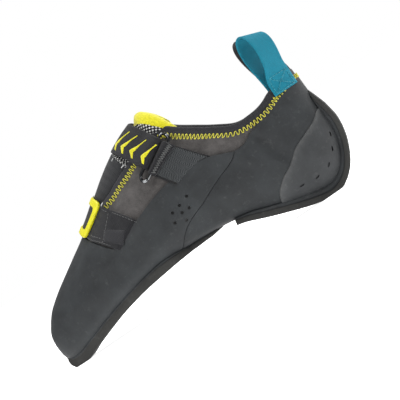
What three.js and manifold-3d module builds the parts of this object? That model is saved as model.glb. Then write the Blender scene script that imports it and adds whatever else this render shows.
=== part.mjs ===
// A left climbing shoe with two hook-and-loop straps that pull in opposite directions.
// Millimetres. The toe points to -X, the outer side of the foot faces -Y and +Z is up.
// The origin is the middle of the flat spot under the heel, and the shoe stands on heel and toe.
import * as THREE from "three";
import { mergeVertices } from "three/addons/utils/BufferGeometryUtils.js";
import Module from "manifold-3d";

const wasm = await Module();
wasm.setup();

// Driving sizes of the foot form, which is the outer face of the cloth upper
const SHOE_LENGTH = 250;
const INSTEP_HEIGHT = 120;
const ARCH_HEIGHT = 28;
const HEEL_HEIGHT = 85;
const BALL_WIDTH = 78;
const HEEL_WIDTH = 56;

// Thicknesses and clearances
const GAP = 0.3;
const UPPER_WALL = 2;
const RAND = 1.8;
const HEEL_RUBBER = 2;
const OUTSOLE = 4;
const TOE_LEDGE = 0.3;
const INSOLE = 2;
const LASTING_MARGIN = 11;
const BINDING = 1;
const BINDING_WIDTH = 6;
const TONGUE = 4;
const ELASTIC = 1.2;
const WEBBING = 1.2;
const RING_WIRE = 2.2;
const TAB = 2.2;
const LOOP_TAPE = 1.2;
const LOOP_WIDTH = 18;
const LOOP_RISE = 36;
const LOOP_BELLY = 7;
const LOOP_SEAT = 7;
const LOOP_FRONT = 5.5;
const LOOP_REACH = 16;
const LOOP_HEIGHT = 83;
const LOOP_TILT = 5;
const LOOP_TURN = 0.6;
const ELASTIC_BULGE = 3.6;
const TONGUE_BULGE = 8.5;

// The sections of the foot form, from the toe to above the collar. Each is a closed ring through a point
// of the sole line and a point of the instep line. The lengths are shares: x of SHOE_LENGTH, arch of
// ARCH_HEIGHT, seat of HEEL_HEIGHT, instep of INSTEP_HEIGHT, ball, shift and ridge of BALL_WIDTH, heel of
// HEEL_WIDTH. ball and heel give the half width, shift and ridge the sideways place of the sole line and
// of the instep line. belly is the share of the ring's height where it is widest, square and dome are the
// powers of its lower and upper curve.
const COLUMNS = [
  "xBottom", "arch", "seat", "xTop", "instep", "ball", "heel", "shift", "ridge", "belly", "square", "dome",
];
const SECTIONS = [
  [-0.864, 0.589, 0, -0.864, 0.153, 0.013, 0, 0.179, 0.179, 0.5, 2.2, 2.2],
  [-0.858, 0.35, 0, -0.86, 0.222, 0.096, 0, 0.173, 0.179, 0.45, 2.4, 2.2],
  [-0.842, 0.257, 0, -0.843, 0.281, 0.167, 0, 0.16, 0.179, 0.4, 3, 2.1],
  [-0.814, 0.271, 0, -0.823, 0.331, 0.231, 0, 0.141, 0.179, 0.36, 3.6, 2.1],
  [-0.778, 0.371, 0, -0.802, 0.367, 0.287, 0, 0.126, 0.177, 0.33, 4.2, 2.1],
  [-0.736, 0.486, 0, -0.774, 0.408, 0.345, 0, 0.106, 0.172, 0.3, 4.6, 2.1],
  [-0.688, 0.611, 0, -0.74, 0.452, 0.403, 0, 0.077, 0.164, 0.28, 4.8, 2.1],
  [-0.632, 0.736, 0, -0.695, 0.509, 0.456, 0, 0.049, 0.154, 0.27, 4.8, 2.05],
  [-0.572, 0.85, 0, -0.646, 0.57, 0.487, 0, 0.017, 0.141, 0.27, 4.6, 2],
  [-0.512, 0.932, 0, -0.594, 0.642, 0.492, 0, -0.015, 0.128, 0.28, 4.2, 2],
  [-0.452, 0.986, 0, -0.54, 0.725, 0.469, 0, -0.046, 0.115, 0.3, 3.6, 2],
  [-0.392, 1, 0, -0.486, 0.805, 0.428, 0, -0.069, 0.096, 0.32, 3.1, 2],
  [-0.332, 0.971, 0, -0.436, 0.868, 0.392, 0, -0.079, 0.077, 0.34, 2.8, 2],
  [-0.272, 0.907, 0, -0.392, 0.913, 0, 0.511, -0.077, 0.058, 0.35, 2.7, 2],
  [-0.216, 0.807, 0, -0.354, 0.943, 0, 0.493, -0.064, 0.045, 0.36, 2.6, 2],
  [-0.16, 0.629, 0, -0.322, 0.963, 0, 0.489, -0.051, 0.033, 0.36, 2.6, 2],
  [-0.1, 0.45, 0, -0.296, 0.978, 0, 0.493, -0.038, 0.026, 0.36, 2.6, 2],
  [-0.04, 0.3, 0, -0.276, 0.992, 0, 0.5, -0.026, 0.019, 0.36, 2.6, 2],
  [0.012, 0.246, 0, -0.262, 1.005, 0, 0.5, -0.015, 0.013, 0.37, 2.5, 2],
  [0.049, 0.379, 0, -0.252, 1.018, 0, 0.496, -0.008, 0.008, 0.38, 2.4, 2],
  [0.075, 0, 0.214, -0.245, 1.032, 0, 0.489, -0.004, 0.005, 0.4, 2.35, 2],
  [0.093, 0, 0.332, -0.24, 1.045, 0, 0.482, -0.001, 0.003, 0.42, 2.3, 2],
  [0.102, 0, 0.456, -0.237, 1.058, 0, 0.475, 0, 0, 0.44, 2.3, 2],
  [0.101, 0, 0.581, -0.234, 1.072, 0, 0.468, 0, 0, 0.45, 2.3, 2],
  [0.098, 0, 0.706, -0.233, 1.085, 0, 0.461, 0, 0, 0.46, 2.3, 2],
  [0.096, 0, 0.835, -0.232, 1.098, 0, 0.454, 0, 0, 0.47, 2.3, 2],
  [0.095, 0, 0.988, -0.232, 1.113, 0, 0.446, 0, 0, 0.48, 2.3, 2],
  [0.095, 0, 1.153, -0.232, 1.13, 0, 0.439, 0, 0, 0.48, 2.3, 2],
].map((cells) => Object.fromEntries(COLUMNS.map((name, i) => [name, cells[i]])));
const LAST_STATION = SECTIONS.length - 1;

// Outlines seen from the side. Each row is a station of the form, counted in sections from the toe, and
// the share of the ring's height at that station, from 0 at the sole line to 1 at the instep line.
const RAND_TOP = [
  [8.36, 1.12], [8.36, 1.02], [8.51, 0.82], [8.78, 0.59], [9.15, 0.434], [10.5, 0.493], [11.73, 0.49],
  [13.07, 0.455], [14.1, 0.49], [15.19, 0.524], [15.9, 0.524], [17.17, 0.482],
];
const SIDE_SEAM = [
  [17.17, 0.482], [16.34, 0.432], [15.03, 0.362], [13.29, 0.246], [11.77, 0.153], [10.75, 0.029],
  [10.3, -0.12],
];
const SLING_TOP = [
  [17.17, 0.482], [19.13, 0.48], [20.5, 0.44], [21.9, 0.387], [23.0, 0.305], [23.9, 0.226], [24.7, 0.13],
  [25.4, 0.044], [25.7, -0.02], [25.8, -0.12],
];
const HEEL_CUP_EDGE = [
  [23.48, -0.12], [23.48, -0.032], [22.9, 0.05], [21.95, 0.112], [20.8, 0.185], [19.6, 0.235], [18.4, 0.235],
  [17.25, 0.195], [16.4, 0.13], [15.9, 0.06], [15.5, -0.12],
];
const COLLAR_RIM = [
  [16.4, 0.8], [17.56, 0.716], [18.44, 0.653], [19.36, 0.58], [20.33, 0.522], [21.37, 0.46], [22.98, 0.35],
  [24.38, 0.245], [25.2, 0.15], [25.9, 0.05], [26.17, -0.03], [26.4, -0.15],
];
const OUTER_THROAT = [
  [9.5, 1.12], [9.75, 0.99], [10.15, 0.905], [11.12, 0.868], [12.29, 0.862], [13.66, 0.862], [15.0, 0.868],
  [15.85, 0.855],
];
const INNER_THROAT = [
  [9.5, 1.12], [9.75, 1.0], [10.15, 0.955], [11.12, 0.935], [12.29, 0.93], [13.66, 0.93], [15.0, 0.925],
  [15.85, 0.87],
];
const FRONT_SOLE_TOP = [
  [0.9, -0.12], [2, 0], [4, 0], [6, 0], [8, 0.02], [9.6, 0.03], [10.3, 0.005], [10.9, -0.03], [11.5, -0.045],
  [12.7, -0.05],
];
const HEEL_SOLE_TOP = [
  [13.34, 0], [14.4, 0.018], [15.4, 0.026], [16.85, 0.036], [18.1, 0.036], [19.2, 0.02], [20.45, 0.008],
  [21.85, 0.008], [23.4, 0.005], [24.6, 0], [24.9, -0.09],
];

// The sole under each station: how far its bottom lies below the rubber it is glued to, in shares of
// OUTSOLE, and its half width in shares of the form's.
const SOLE = [
  [0, 0, 0.9], [0.5, 0, 0.9], [1, 0.45, 1], [1.5, 1, 1], [2.2, 1.35, 1], [3, 1.3, 0.99], [4, 1.1, 0.985],
  [6, 1, 0.98], [8, 1, 0.98], [9.5, 1.05, 0.96], [10.5, 0.95, 0.92], [11.3, 0.85, 0.9], [12.2, 0.7, 0.86],
  [12.8, 0.4, 0.78], [13.3, 0.75, 0.76], [14.4, 0.95, 0.74], [16, 1.05, 0.72], [17, 1.2, 0.72],
  [18, 1.4, 0.72], [19, 1.2, 0.72], [20, 1.1, 0.7], [21, 1.1, 0.66], [22.5, 1.1, 0.56], [23.6, 0.95, 0.48],
  [24.4, 0.6, 0.42], [24.9, 0.2, 0.36], [27, 0.2, 0.36],
];

// Straps, each by the rows it crosses. A row is a line across the strap: the station of its front and rear
// end, and each end's girth, which is its distance from the instep line in shares of half the ring,
// negative on the outer side.
const STRAP_COLUMNS = ["front", "frontGirth", "rear", "rearGirth"];
const strap = (rows) =>
  rows.map((cells) => Object.fromEntries(STRAP_COLUMNS.map((name, i) => [name, cells[i]])));
const INSTEP_STRAP = strap([
  [12.6, -0.323, 14.8, -0.238], [12.1, 0, 14.2, 0], [12.3, 0.27, 14.8, 0.25], [12.7, 0.54, 15.6, 0.52],
]);
const INSTEP_RING = strap([[12.6, -0.323, 14.8, -0.238], [12.6, -0.375, 14.9, -0.285]]);
const INSTEP_WEBBING = strap([[12.6, -0.375, 14.9, -0.285], [13, -0.52, 16, -0.49]]);
const INSTEP_TAB = { rows: [1.35, 2.1], window: [1.47, 1.97] };
const TOE_STRAP = strap([
  [8.55, 0.27, 10.05, 0.27], [8.5, 0, 9.9, 0], [8.66, -0.26, 10.06, -0.25], [9.4, -0.54, 10.6, -0.54],
]);
const TOE_RING = strap([[8.55, 0.27, 10.05, 0.27], [8.58, 0.326, 10.12, 0.326]]);
const TOE_WEBBING = strap([[8.58, 0.326, 10.12, 0.326], [8.95, 0.52, 10.4, 0.52]]);
const TOE_TAB = { rows: [0.66, 1.8], window: [0.79, 1.66] };
const ELASTIC_ROWS = [[10.05, -0.25, 0.2], [11.9, -0.25, 0.2]];
// Each row of the tongue: station, girth of its outer and inner edge, and share of its bulge at its middle
const TONGUE_ROWS = [
  [9.3, -0.3, 0.24, 0], [10.2, -0.34, 0.26, 0], [11.2, -0.34, 0.26, 0], [12.2, -0.33, 0.26, 0],
  [13.2, -0.31, 0.26, 0], [14.1, -0.3, 0.26, 0.1], [14.7, -0.29, 0.26, 0.75], [15.3, -0.28, 0.26, 1],
  [16.1, -0.27, 0.26, 0.9], [16.6, -0.23, 0.22, 0.55],
];
const INSOLE_STATIONS = [1.6, 4, 7, 10, 13, 16, 18.4];
const INSOLE_EDGE = 0.07;

// How finely the form and what lies on it are cut
const RING_POINTS = 22;
const GIRTH_SAMPLES = 48;
const FORM_STATIONS = [
  0.5, 1, 1.5, 2, 3, 4, 5, 6, 7, 8, 9, 10, 11, 12, 13, 14, 15, 16, 17, 18, 19, 20, 21, 22, 23, 24, 25.4, 27,
];
const FAR = 150;
const SMOOTHING = 0.09;

// A Catmull-Rom value between b and c
function blend(a, b, c, d, t) {
  const bend = 2 * a - 5 * b + 4 * c - d;
  const twist = 3 * b - a - 3 * c + d;
  return 0.5 * (2 * b + (c - a) * t + bend * t * t + twist * t * t * t);
}

// The form's ring at a station, in millimetres
function ringAt(station) {
  const low = Math.max(0, Math.min(Math.floor(station), LAST_STATION - 1));
  const t = station - low;
  const row = (i) => SECTIONS[Math.max(0, Math.min(LAST_STATION, i))];
  const of = (name) => blend(row(low - 1)[name], row(low)[name], row(low + 1)[name], row(low + 2)[name], t);
  return {
    bottom: [of("xBottom") * SHOE_LENGTH, of("arch") * ARCH_HEIGHT + of("seat") * HEEL_HEIGHT],
    top: [of("xTop") * SHOE_LENGTH, of("instep") * INSTEP_HEIGHT],
    half: of("ball") * BALL_WIDTH + of("heel") * HEEL_WIDTH,
    sole: of("shift") * BALL_WIDTH,
    ridge: of("ridge") * BALL_WIDTH,
    belly: of("belly"),
    square: of("square"),
    dome: of("dome"),
  };
}

const lerp = (a, b, t) => a + (b - a) * t;

// A value between the rows of a two-column table
function lookUp(table, key) {
  const next = table.findIndex((row) => row[0] >= key);
  if (next <= 0) return table[next < 0 ? table.length - 1 : 0][1];
  const [from, to] = [table[next - 1], table[next]];
  return lerp(from[1], to[1], (key - from[0]) / (to[0] - from[0]));
}

// A point of the form: the angle runs from 0 at the sole line over the outer side to PI at the instep
// line, and on over the inner side. The lower and the upper half of a ring are quarters of superellipses.
function skin(ring, angle) {
  const s = Math.sin(angle);
  const c = Math.cos(angle);
  const power = 2 / (c > 0 ? ring.square : ring.dome);
  const rise = Math.abs(c) ** power;
  const height = c > 0 ? ring.belly * (1 - rise) : ring.belly + (1 - ring.belly) * rise;
  const side = -Math.sign(s) * ring.half * Math.abs(s) ** power;
  return new THREE.Vector3(
    lerp(ring.bottom[0], ring.top[0], height),
    lerp(ring.sole, ring.ridge, height) + side,
    lerp(ring.bottom[1], ring.top[1], height),
  );
}

// The point of the form at a station and angle, moved out along the form's normal
function formPoint(station, angle, lift) {
  const step = 0.02;
  const here = skin(ringAt(station), angle);
  const along = skin(ringAt(station + step), angle).sub(skin(ringAt(station - step), angle));
  const around = skin(ringAt(station), angle + step).sub(skin(ringAt(station), angle - step));
  const normal = along.cross(around).normalize();
  return here.addScaledVector(normal, lift);
}

// The angles that cut half a ring into lengths of equal girth, outer half or inner half
function evenAngles(station, count, inner) {
  const ring = ringAt(station);
  const angles = Array.from({ length: GIRTH_SAMPLES + 1 }, (_, i) => (Math.PI * i) / GIRTH_SAMPLES);
  const turned = inner ? angles.map((a) => 2 * Math.PI - a) : angles;
  const spots = turned.map((a) => skin(ring, a));
  const lengths = [0];
  spots.slice(1).forEach((p, i) => lengths.push(lengths[i] + p.distanceTo(spots[i])));
  const total = lengths[GIRTH_SAMPLES];
  const table = lengths.map((length, i) => [length, turned[i]]);
  return Array.from({ length: count + 1 }, (_, i) => lookUp(table, (total * i) / count));
}

// The angle at a signed share of the half girth from the instep line: -1 is the sole line by the outer side,
// 1 is the sole line by the inner side
function angleAtGirth(station, share) {
  const steps = 40;
  const even = evenAngles(station, steps, share > 0);
  const table = even.map((angle, i) => [i / steps, angle]);
  return lookUp(table, 1 - Math.abs(share));
}

const onForm = (station, girth, lift) => formPoint(station, angleAtGirth(station, girth), lift);

// A closed geometry from points and triangles, turned so that its faces point out
function closed(points, triangles) {
  const volume = triangles.reduce((sum, [a, b, c]) => {
    const cross = points[b].clone().cross(points[c]);
    return sum + points[a].dot(cross);
  }, 0);
  const index = triangles.flatMap(([a, b, c]) => (volume < 0 ? [a, c, b] : [a, b, c]));
  return new THREE.BufferGeometry().setFromPoints(points).setIndex(index);
}

function solidOf(geometry) {
  const bare = geometry.clone();
  bare.deleteAttribute("normal");
  bare.deleteAttribute("uv");
  const merged = mergeVertices(bare, 1e-4);
  return new wasm.Manifold(
    new wasm.Mesh({
      numProp: 3,
      vertProperties: new Float32Array(merged.attributes.position.array),
      triVerts: new Uint32Array(merged.index.array),
    }),
  );
}

function geometryOf(solid) {
  const mesh = solid.simplify(SMOOTHING).getMesh();
  return new THREE.BufferGeometry()
    .setAttribute("position", new THREE.BufferAttribute(mesh.vertProperties, 3))
    .setIndex(new THREE.BufferAttribute(mesh.triVerts, 1));
}

const quad = (a, b, c, d) => [[a, b, c], [a, c, d]];

// Rings of equally many points, closed by a point at either end
function loft(rings, first, last) {
  const count = rings[0].length;
  const points = [...rings.flat(), first, last];
  const [firstAt, lastAt] = [points.length - 2, points.length - 1];
  const triangles = [];
  rings.slice(1).forEach((_, i) => {
    for (let j = 0; j < count; j++) {
      const [a, b] = [i * count + j, i * count + ((j + 1) % count)];
      triangles.push(...quad(a, b, b + count, a + count));
    }
  });
  const end = (rings.length - 1) * count;
  for (let j = 0; j < count; j++) {
    const next = (j + 1) % count;
    triangles.push([firstAt, next, j], [lastAt, end + j, end + next]);
  }
  return closed(points, triangles);
}

// The closed form, made larger or smaller by a lift along its normals
const forms = new Map();
function form(lift) {
  if (!forms.has(lift)) {
    const rings = FORM_STATIONS.map((station) => {
      const outer = evenAngles(station, RING_POINTS / 2, false);
      const inner = evenAngles(station, RING_POINTS / 2, true).reverse();
      const angles = [...outer.slice(0, -1), ...inner.slice(0, -1)];
      return angles.map((angle) => formPoint(station, angle, lift));
    });
    const toe = ringAt(0);
    const tip = new THREE.Vector3(toe.bottom[0] - lift, toe.sole, (toe.bottom[1] + toe.top[1]) / 2);
    forms.set(lift, solidOf(loft(rings, tip, middle(rings.at(-1)))));
  }
  return forms.get(lift);
}

// The side-view place of a station and a share of the ring's height
function sidePoint([station, share]) {
  const ring = ringAt(station);
  return new THREE.Vector2(
    lerp(ring.bottom[0], ring.top[0], share),
    lerp(ring.bottom[1], ring.top[1], share),
  );
}

// A line moved sideways by a distance, to the left of its direction, with mitred corners
function moved(points, distance) {
  return points.map((p, i) => {
    const before = p.clone().sub(points[Math.max(0, i - 1)]).normalize();
    const after = points[Math.min(points.length - 1, i + 1)].clone().sub(p).normalize();
    const way = before.clone().add(after).normalize();
    const steady = before.lengthSq() ? before : after;
    const mitre = Math.max(0.5, way.dot(steady));
    return new THREE.Vector2(p.x - (way.y * distance) / mitre, p.y + (way.x * distance) / mitre);
  });
}

// A side-view outline carried through the shoe from one sideways place to another
function sidePrism(points, from = -FAR, to = FAR) {
  const shape = new THREE.Shape(points);
  const geometry = new THREE.ExtrudeGeometry(shape, { depth: to - from, bevelEnabled: false });
  return solidOf(geometry.rotateX(Math.PI / 2).translate(0, to, 0));
}

// A plan-view outline carried up from one height to another
function planPrism(points, from, to) {
  const shape = new THREE.Shape(points);
  const geometry = new THREE.ExtrudeGeometry(shape, { depth: to - from, bevelEnabled: false });
  return solidOf(geometry.translate(0, 0, from));
}

const corner = (x, z) => new THREE.Vector2(x, z);
const outline = (table) => table.map(sidePoint);

// What the collar and the throat leave open, grown into the upper by a distance. The outer and the inner
// side of the throat have edges of their own, and they meet in a plane inside the slot.
function opening(grow) {
  const half = (throat, from, to) => {
    const edge = moved(outline([...throat, ...COLLAR_RIM]), -grow);
    const [front, back] = [edge[0], edge.at(-1)];
    const above = [
      corner(back.x + FAR, back.y),
      corner(back.x + FAR, FAR * 2),
      corner(front.x, FAR * 2),
    ];
    return sidePrism([...edge, ...above], from, to);
  };
  const split = ringAt(12).ridge - 2;
  return half(OUTER_THROAT, -FAR, split).add(half(INNER_THROAT, split, FAR));
}

// The hole that a flat sole closes, in plan, inset from the form's widest line
function soleHole(fromStation, toStation, inset, top) {
  const count = 8;
  const stations = Array.from({ length: count + 1 }, (_, i) => lerp(fromStation, toStation, i / count));
  const edge = (sign) => stations.map((station) => {
    const ring = ringAt(station);
    const reach = Math.max(ring.half - inset, 2);
    return corner(ring.bottom[0], ring.sole + sign * reach);
  });
  return planPrism([...edge(-1), ...edge(1).reverse()], -FAR, top);
}
const FRONT_HOLE = [3.4, 10.2];
const HEEL_HOLE = [15.4, 18.6];
const HOLE_TOP = ARCH_HEIGHT + 3 * UPPER_WALL;
const soleHoles = (inset) =>
  soleHole(...FRONT_HOLE, inset, HOLE_TOP).add(soleHole(...HEEL_HOLE, inset, HOLE_TOP));

const middle = (ring) =>
  ring.reduce((sum, p) => sum.add(p), new THREE.Vector3()).divideScalar(ring.length);

// The block that both sole pieces are cut from: the form's rings, upright at the sides and moved down by the
// sole's depth
function soleBlock() {
  const squareness = 8;
  const depths = SOLE.map(([station, depth]) => [station, depth * OUTSOLE]);
  const widths = SOLE.map(([station, , width]) => [station, width]);
  const rings = [];
  for (let station = 0.5; station <= 25; station += station < 3 ? 0.5 : 1) {
    const ring = ringAt(station);
    const depth = GAP + (station < 12.5 ? RAND : HEEL_RUBBER) + GAP + lookUp(depths, station);
    const run = sidePoint([station + 0.3, 0]).sub(sidePoint([station - 0.3, 0])).normalize();
    const sunk = {
      ...ring,
      bottom: [ring.bottom[0] + run.y * depth, ring.bottom[1] - run.x * depth],
      half: ring.half * lookUp(widths, station),
      square: squareness,
    };
    const half = evenAngles(station, RING_POINTS / 2, false);
    const angles = [...half.slice(0, -1), ...half.map((a) => 2 * Math.PI - a).reverse().slice(0, -1)];
    rings.push(angles.map((angle) => skin(sunk, angle)));
  }
  const far = FAR * 2;
  const square = [corner(-far, -far), corner(far, -far), corner(far, far), corner(-far, far)];
  const floor = planPrism(square, 0, far);
  return solidOf(loft(rings, middle(rings[0]), middle(rings.at(-1)))).intersect(floor);
}

// A strip with two faces, carried across the width of a piece. The faces are equally many points of the
// profile, and place turns a profile point and a share of the width into a point in space.
function ribbon(outer, inner, count, place) {
  const profile = [...outer, ...inner];
  const [run, size] = [outer.length, profile.length];
  const points = [];
  for (let i = 0; i <= count; i++) points.push(...profile.map((p) => place(p, i / count)));
  const triangles = [];
  const edge = [...outer.keys(), ...[...inner.keys()].reverse().map((i) => run + i)];
  for (let i = 0; i < count; i++) {
    edge.forEach((from, j) => {
      const to = edge[(j + 1) % size];
      triangles.push(...quad(i * size + from, i * size + to, (i + 1) * size + to, (i + 1) * size + from));
    });
  }
  const end = count * size;
  for (let j = 0; j < run - 1; j++) {
    triangles.push(...quad(j, run + j, run + j + 1, j + 1));
    triangles.push(...quad(end + j, end + j + 1, end + run + j + 1, end + run + j));
  }
  return closed(points, triangles);
}

const geometryFor = {};
const solidFor = {};

// Upper: a hollow sock of microfibre, open at the collar and throat and under the sole
solidFor.upper = form(0)
  .subtract(form(-UPPER_WALL))
  .subtract(opening(0))
  .subtract(soleHoles(LASTING_MARGIN));

// Rubber rands: the front one from the toe to the side seam, the rear one from there round the heel
const randLayer = (thick) => form(GAP + thick).subtract(form(GAP));
const slingThickness = HEEL_RUBBER;
const seam = outline(SIDE_SEAM);
const frontOutline = [
  ...outline(RAND_TOP),
  ...seam.slice(1),
  corner(seam.at(-1).x, -FAR),
  corner(-FAR * 2, -FAR),
  corner(-FAR * 2, FAR),
  corner(outline(RAND_TOP)[0].x, FAR),
];
solidFor.front_rand = randLayer(RAND)
  .intersect(sidePrism(frontOutline))
  .subtract(soleHoles(LASTING_MARGIN));

const cupEdge = outline(HEEL_CUP_EDGE);
const cupOutline = (shift) => {
  const edge = moved(cupEdge, -shift);
  return [...edge, corner(edge.at(-1).x, -FAR), corner(FAR, -FAR), corner(FAR, edge[0].y)];
};
const slingTop = outline(SLING_TOP);
const seamBehind = moved(seam, GAP);
const slingOutline = [
  ...slingTop.slice(1),
  corner(FAR, slingTop.at(-1).y),
  corner(FAR, -FAR),
  corner(seamBehind.at(-1).x, -FAR),
  ...seamBehind.reverse(),
];
// The tape ends of the pull loops lie in a notch of the rear rubber's top edge
const notchFront = LOOP_FRONT - 2 * GAP;
const notchRear = LOOP_FRONT + LOOP_REACH + HEEL_RUBBER + 2 * LOOP_TAPE;
const notchFoot = LOOP_HEIGHT - LOOP_SEAT - LOOP_TAPE;
const loopNotch = sidePrism([
  corner(notchFront, notchFoot),
  corner(notchRear, notchFoot),
  corner(notchRear, FAR),
  corner(notchFront, FAR),
]);
solidFor.heel_sling = randLayer(slingThickness)
  .intersect(sidePrism(slingOutline))
  .subtract(opening(BINDING_WIDTH + GAP))
  .subtract(loopNotch)
  .subtract(sidePrism(cupOutline(GAP)))
  .subtract(soleHoles(LASTING_MARGIN));
solidFor.heel_cup = randLayer(HEEL_RUBBER)
  .intersect(sidePrism(cupOutline(0)))
  .subtract(soleHoles(LASTING_MARGIN));

// Soles: the front one and the heel one, which climbs the back of the heel
const block = soleBlock();
const frontTop = outline(FRONT_SOLE_TOP);
const toeFront = ringAt(0).bottom[0] - GAP - RAND - TOE_LEDGE;
const frontSoleOutline = [
  corner(toeFront, frontTop[0].y),
  ...frontTop,
  corner(frontTop.at(-1).x, -FAR),
  corner(toeFront, -FAR),
];
solidFor.front_outsole = block
  .intersect(sidePrism(frontSoleOutline))
  .subtract(form(GAP + RAND + GAP));
const heelTop = outline(HEEL_SOLE_TOP);
const heelSoleOutline = [
  ...heelTop,
  corner(FAR, heelTop.at(-1).y),
  corner(FAR, -FAR),
  corner(heelTop[0].x, -FAR),
];
solidFor.heel_outsole = block
  .intersect(sidePrism(heelSoleOutline))
  .subtract(form(GAP + HEEL_RUBBER + GAP));

// Collar binding: a tape on the outside of collar and throat, turned over their rim
solidFor.collar_binding = form(GAP + BINDING)
  .subtract(form(-UPPER_WALL))
  .intersect(opening(BINDING_WIDTH))
  .subtract(opening(-GAP - BINDING))
  .subtract(form(GAP).subtract(opening(-GAP)));

// Insole: a board inside the upper, with pads that fill the two holes under it down to the soles
const lowPart = sidePrism([
  ...INSOLE_STATIONS.map((station) => sidePoint([station, INSOLE_EDGE])),
  corner(sidePoint([INSOLE_STATIONS.at(-1), 0]).x, -FAR),
  corner(-FAR * 2, -FAR),
]);
solidFor.insole = form(RAND - GAP)
  .intersect(soleHoles(LASTING_MARGIN + GAP))
  .add(form(-UPPER_WALL - GAP))
  .intersect(lowPart)
  .subtract(form(-UPPER_WALL - GAP - INSOLE));

// A point on the form, found by the row of a table and the share of the way from its front end to its
// rear end
function rowPoint(rows, row, share, lift) {
  const low = Math.max(0, Math.min(Math.floor(row), rows.length - 2));
  const t = row - low;
  const cell = (name) => lerp(rows[low][name], rows[low + 1][name], t);
  const station = lerp(cell("front"), cell("rear"), share);
  return onForm(station, lerp(cell("frontGirth"), cell("rearGirth"), share), lift);
}

// Rows at even steps from one to another, both ends included
function rowsBetween(from, to) {
  const step = 0.25;
  const way = Math.sign(to - from);
  const inner = [];
  for (let row = 0; row <= 8; row += step) {
    if ((row - from) * way > 0.04 && (to - row) * way > 0.04) inner.push(row);
  }
  if (way < 0) inner.reverse();
  return [from, ...inner, to];
}

const STRAP_LIFT = GAP + Math.max(BINDING, ELASTIC) + 2 * GAP;
const BAR_ROOM = RING_WIRE / 2 + 1.5 * GAP;
const RING_LIFT = STRAP_LIFT + WEBBING + BAR_ROOM;
const STRAP_COLUMNS_CUT = 4;

// A strap that starts at row end, goes round the bar at row 0 and comes back on top of itself to row back
function foldedStrap(rows, end, back, settle) {
  const span = rowPoint(rows, 0, 0.5, 0).distanceTo(rowPoint(rows, 1, 0.5, 0));
  const rest = STRAP_LIFT + WEBBING + GAP;
  const high = (row) => lerp(RING_LIFT + BAR_ROOM, rest, Math.min(1, (row * span) / settle));
  const turn = (radius, order) => order.map((share) => {
    const angle = Math.PI * share;
    return [(-radius * Math.sin(angle)) / span, RING_LIFT - radius * Math.cos(angle)];
  });
  const shares = [0, 0.2, 0.4, 0.6, 0.8, 1];
  const face = (reach, baseLift, rise) => [
    ...rowsBetween(end, 0).slice(0, -1).map((row) => [row, baseLift]),
    ...turn(reach, shares),
    ...rowsBetween(0, back).slice(1).map((row) => [row, high(row) + rise]),
  ].map(([row, lift]) => new THREE.Vector2(row, lift));
  return ribbon(
    face(BAR_ROOM + WEBBING, STRAP_LIFT, WEBBING),
    face(BAR_ROOM, STRAP_LIFT + WEBBING, 0),
    STRAP_COLUMNS_CUT,
    (p, share) => rowPoint(rows, p.x, share, p.y),
  );
}

// A flat piece that follows the form between two rows
function patch(rows, from, to, shareFrom, shareTo, lift, thick) {
  const face = (height) => rowsBetween(from, to).map((row) => new THREE.Vector2(row, height));
  return ribbon(face(lift), face(lift + thick), STRAP_COLUMNS_CUT, (p, share) =>
    rowPoint(rows, p.x, lerp(shareFrom, shareTo, share), p.y));
}

// A closed wire through points that lie on the form's normals
function wireLoop(centres, normals, radius) {
  const sides = 6;
  const count = centres.length;
  const points = centres.flatMap((centre, i) => {
    const along = centres[(i + 1) % count].clone().sub(centres[(i + count - 1) % count]).normalize();
    const side = along.clone().cross(normals[i]).normalize();
    const up = side.clone().cross(along);
    return Array.from({ length: sides }, (_, k) => {
      const angle = (2 * Math.PI * k) / sides;
      return centre.clone()
        .addScaledVector(up, radius * Math.cos(angle))
        .addScaledVector(side, radius * Math.sin(angle));
    });
  });
  const triangles = [];
  for (let i = 0; i < count; i++) {
    for (let k = 0; k < sides; k++) {
      const [a, b] = [i * sides + k, i * sides + ((k + 1) % sides)];
      const next = ((i + 1) % count) * sides - i * sides;
      triangles.push(...quad(a, b, b + next, a + next));
    }
  }
  return closed(points, triangles);
}

// A wire ring with one bar in each of two rows and rounded corners beyond the ends of the strap
function strapRing(rows) {
  const width = rowPoint(rows, 0, 0, 0).distanceTo(rowPoint(rows, 0, 1, 0));
  const height = rowPoint(rows, 0, 0.5, 0).distanceTo(rowPoint(rows, 1, 0.5, 0));
  const radius = RING_WIRE * 1.2;
  const beyond = radius;
  const flat = [];
  const corners = [
    [-beyond + radius, radius, Math.PI], [width + beyond - radius, radius, 1.5 * Math.PI],
    [width + beyond - radius, height - radius, 0], [-beyond + radius, height - radius, 0.5 * Math.PI],
  ];
  for (const [x, y, start] of corners) {
    for (const share of [0, 0.5, 1]) {
      const angle = start + (share * Math.PI) / 2;
      flat.push([x + radius * Math.cos(angle), y + radius * Math.sin(angle)]);
    }
  }
  const rounded = flat.flatMap(([x, y], i) => {
    const [nextX, nextY] = flat[(i + 1) % flat.length];
    const pieces = Math.max(1, Math.round(Math.hypot(nextX - x, nextY - y) / 7));
    const part = (k) => [lerp(x, nextX, k / pieces), lerp(y, nextY, k / pieces)];
    return Array.from({ length: pieces }, (_, k) => part(k));
  });
  const at = (lift) => rounded.map(([x, y]) => rowPoint(rows, y / height, x / width, lift));
  const centres = at(RING_LIFT);
  const normals = at(RING_LIFT + 1).map((p, i) => p.sub(centres[i]));
  return wireLoop(centres, normals, RING_WIRE / 2);
}

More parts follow.
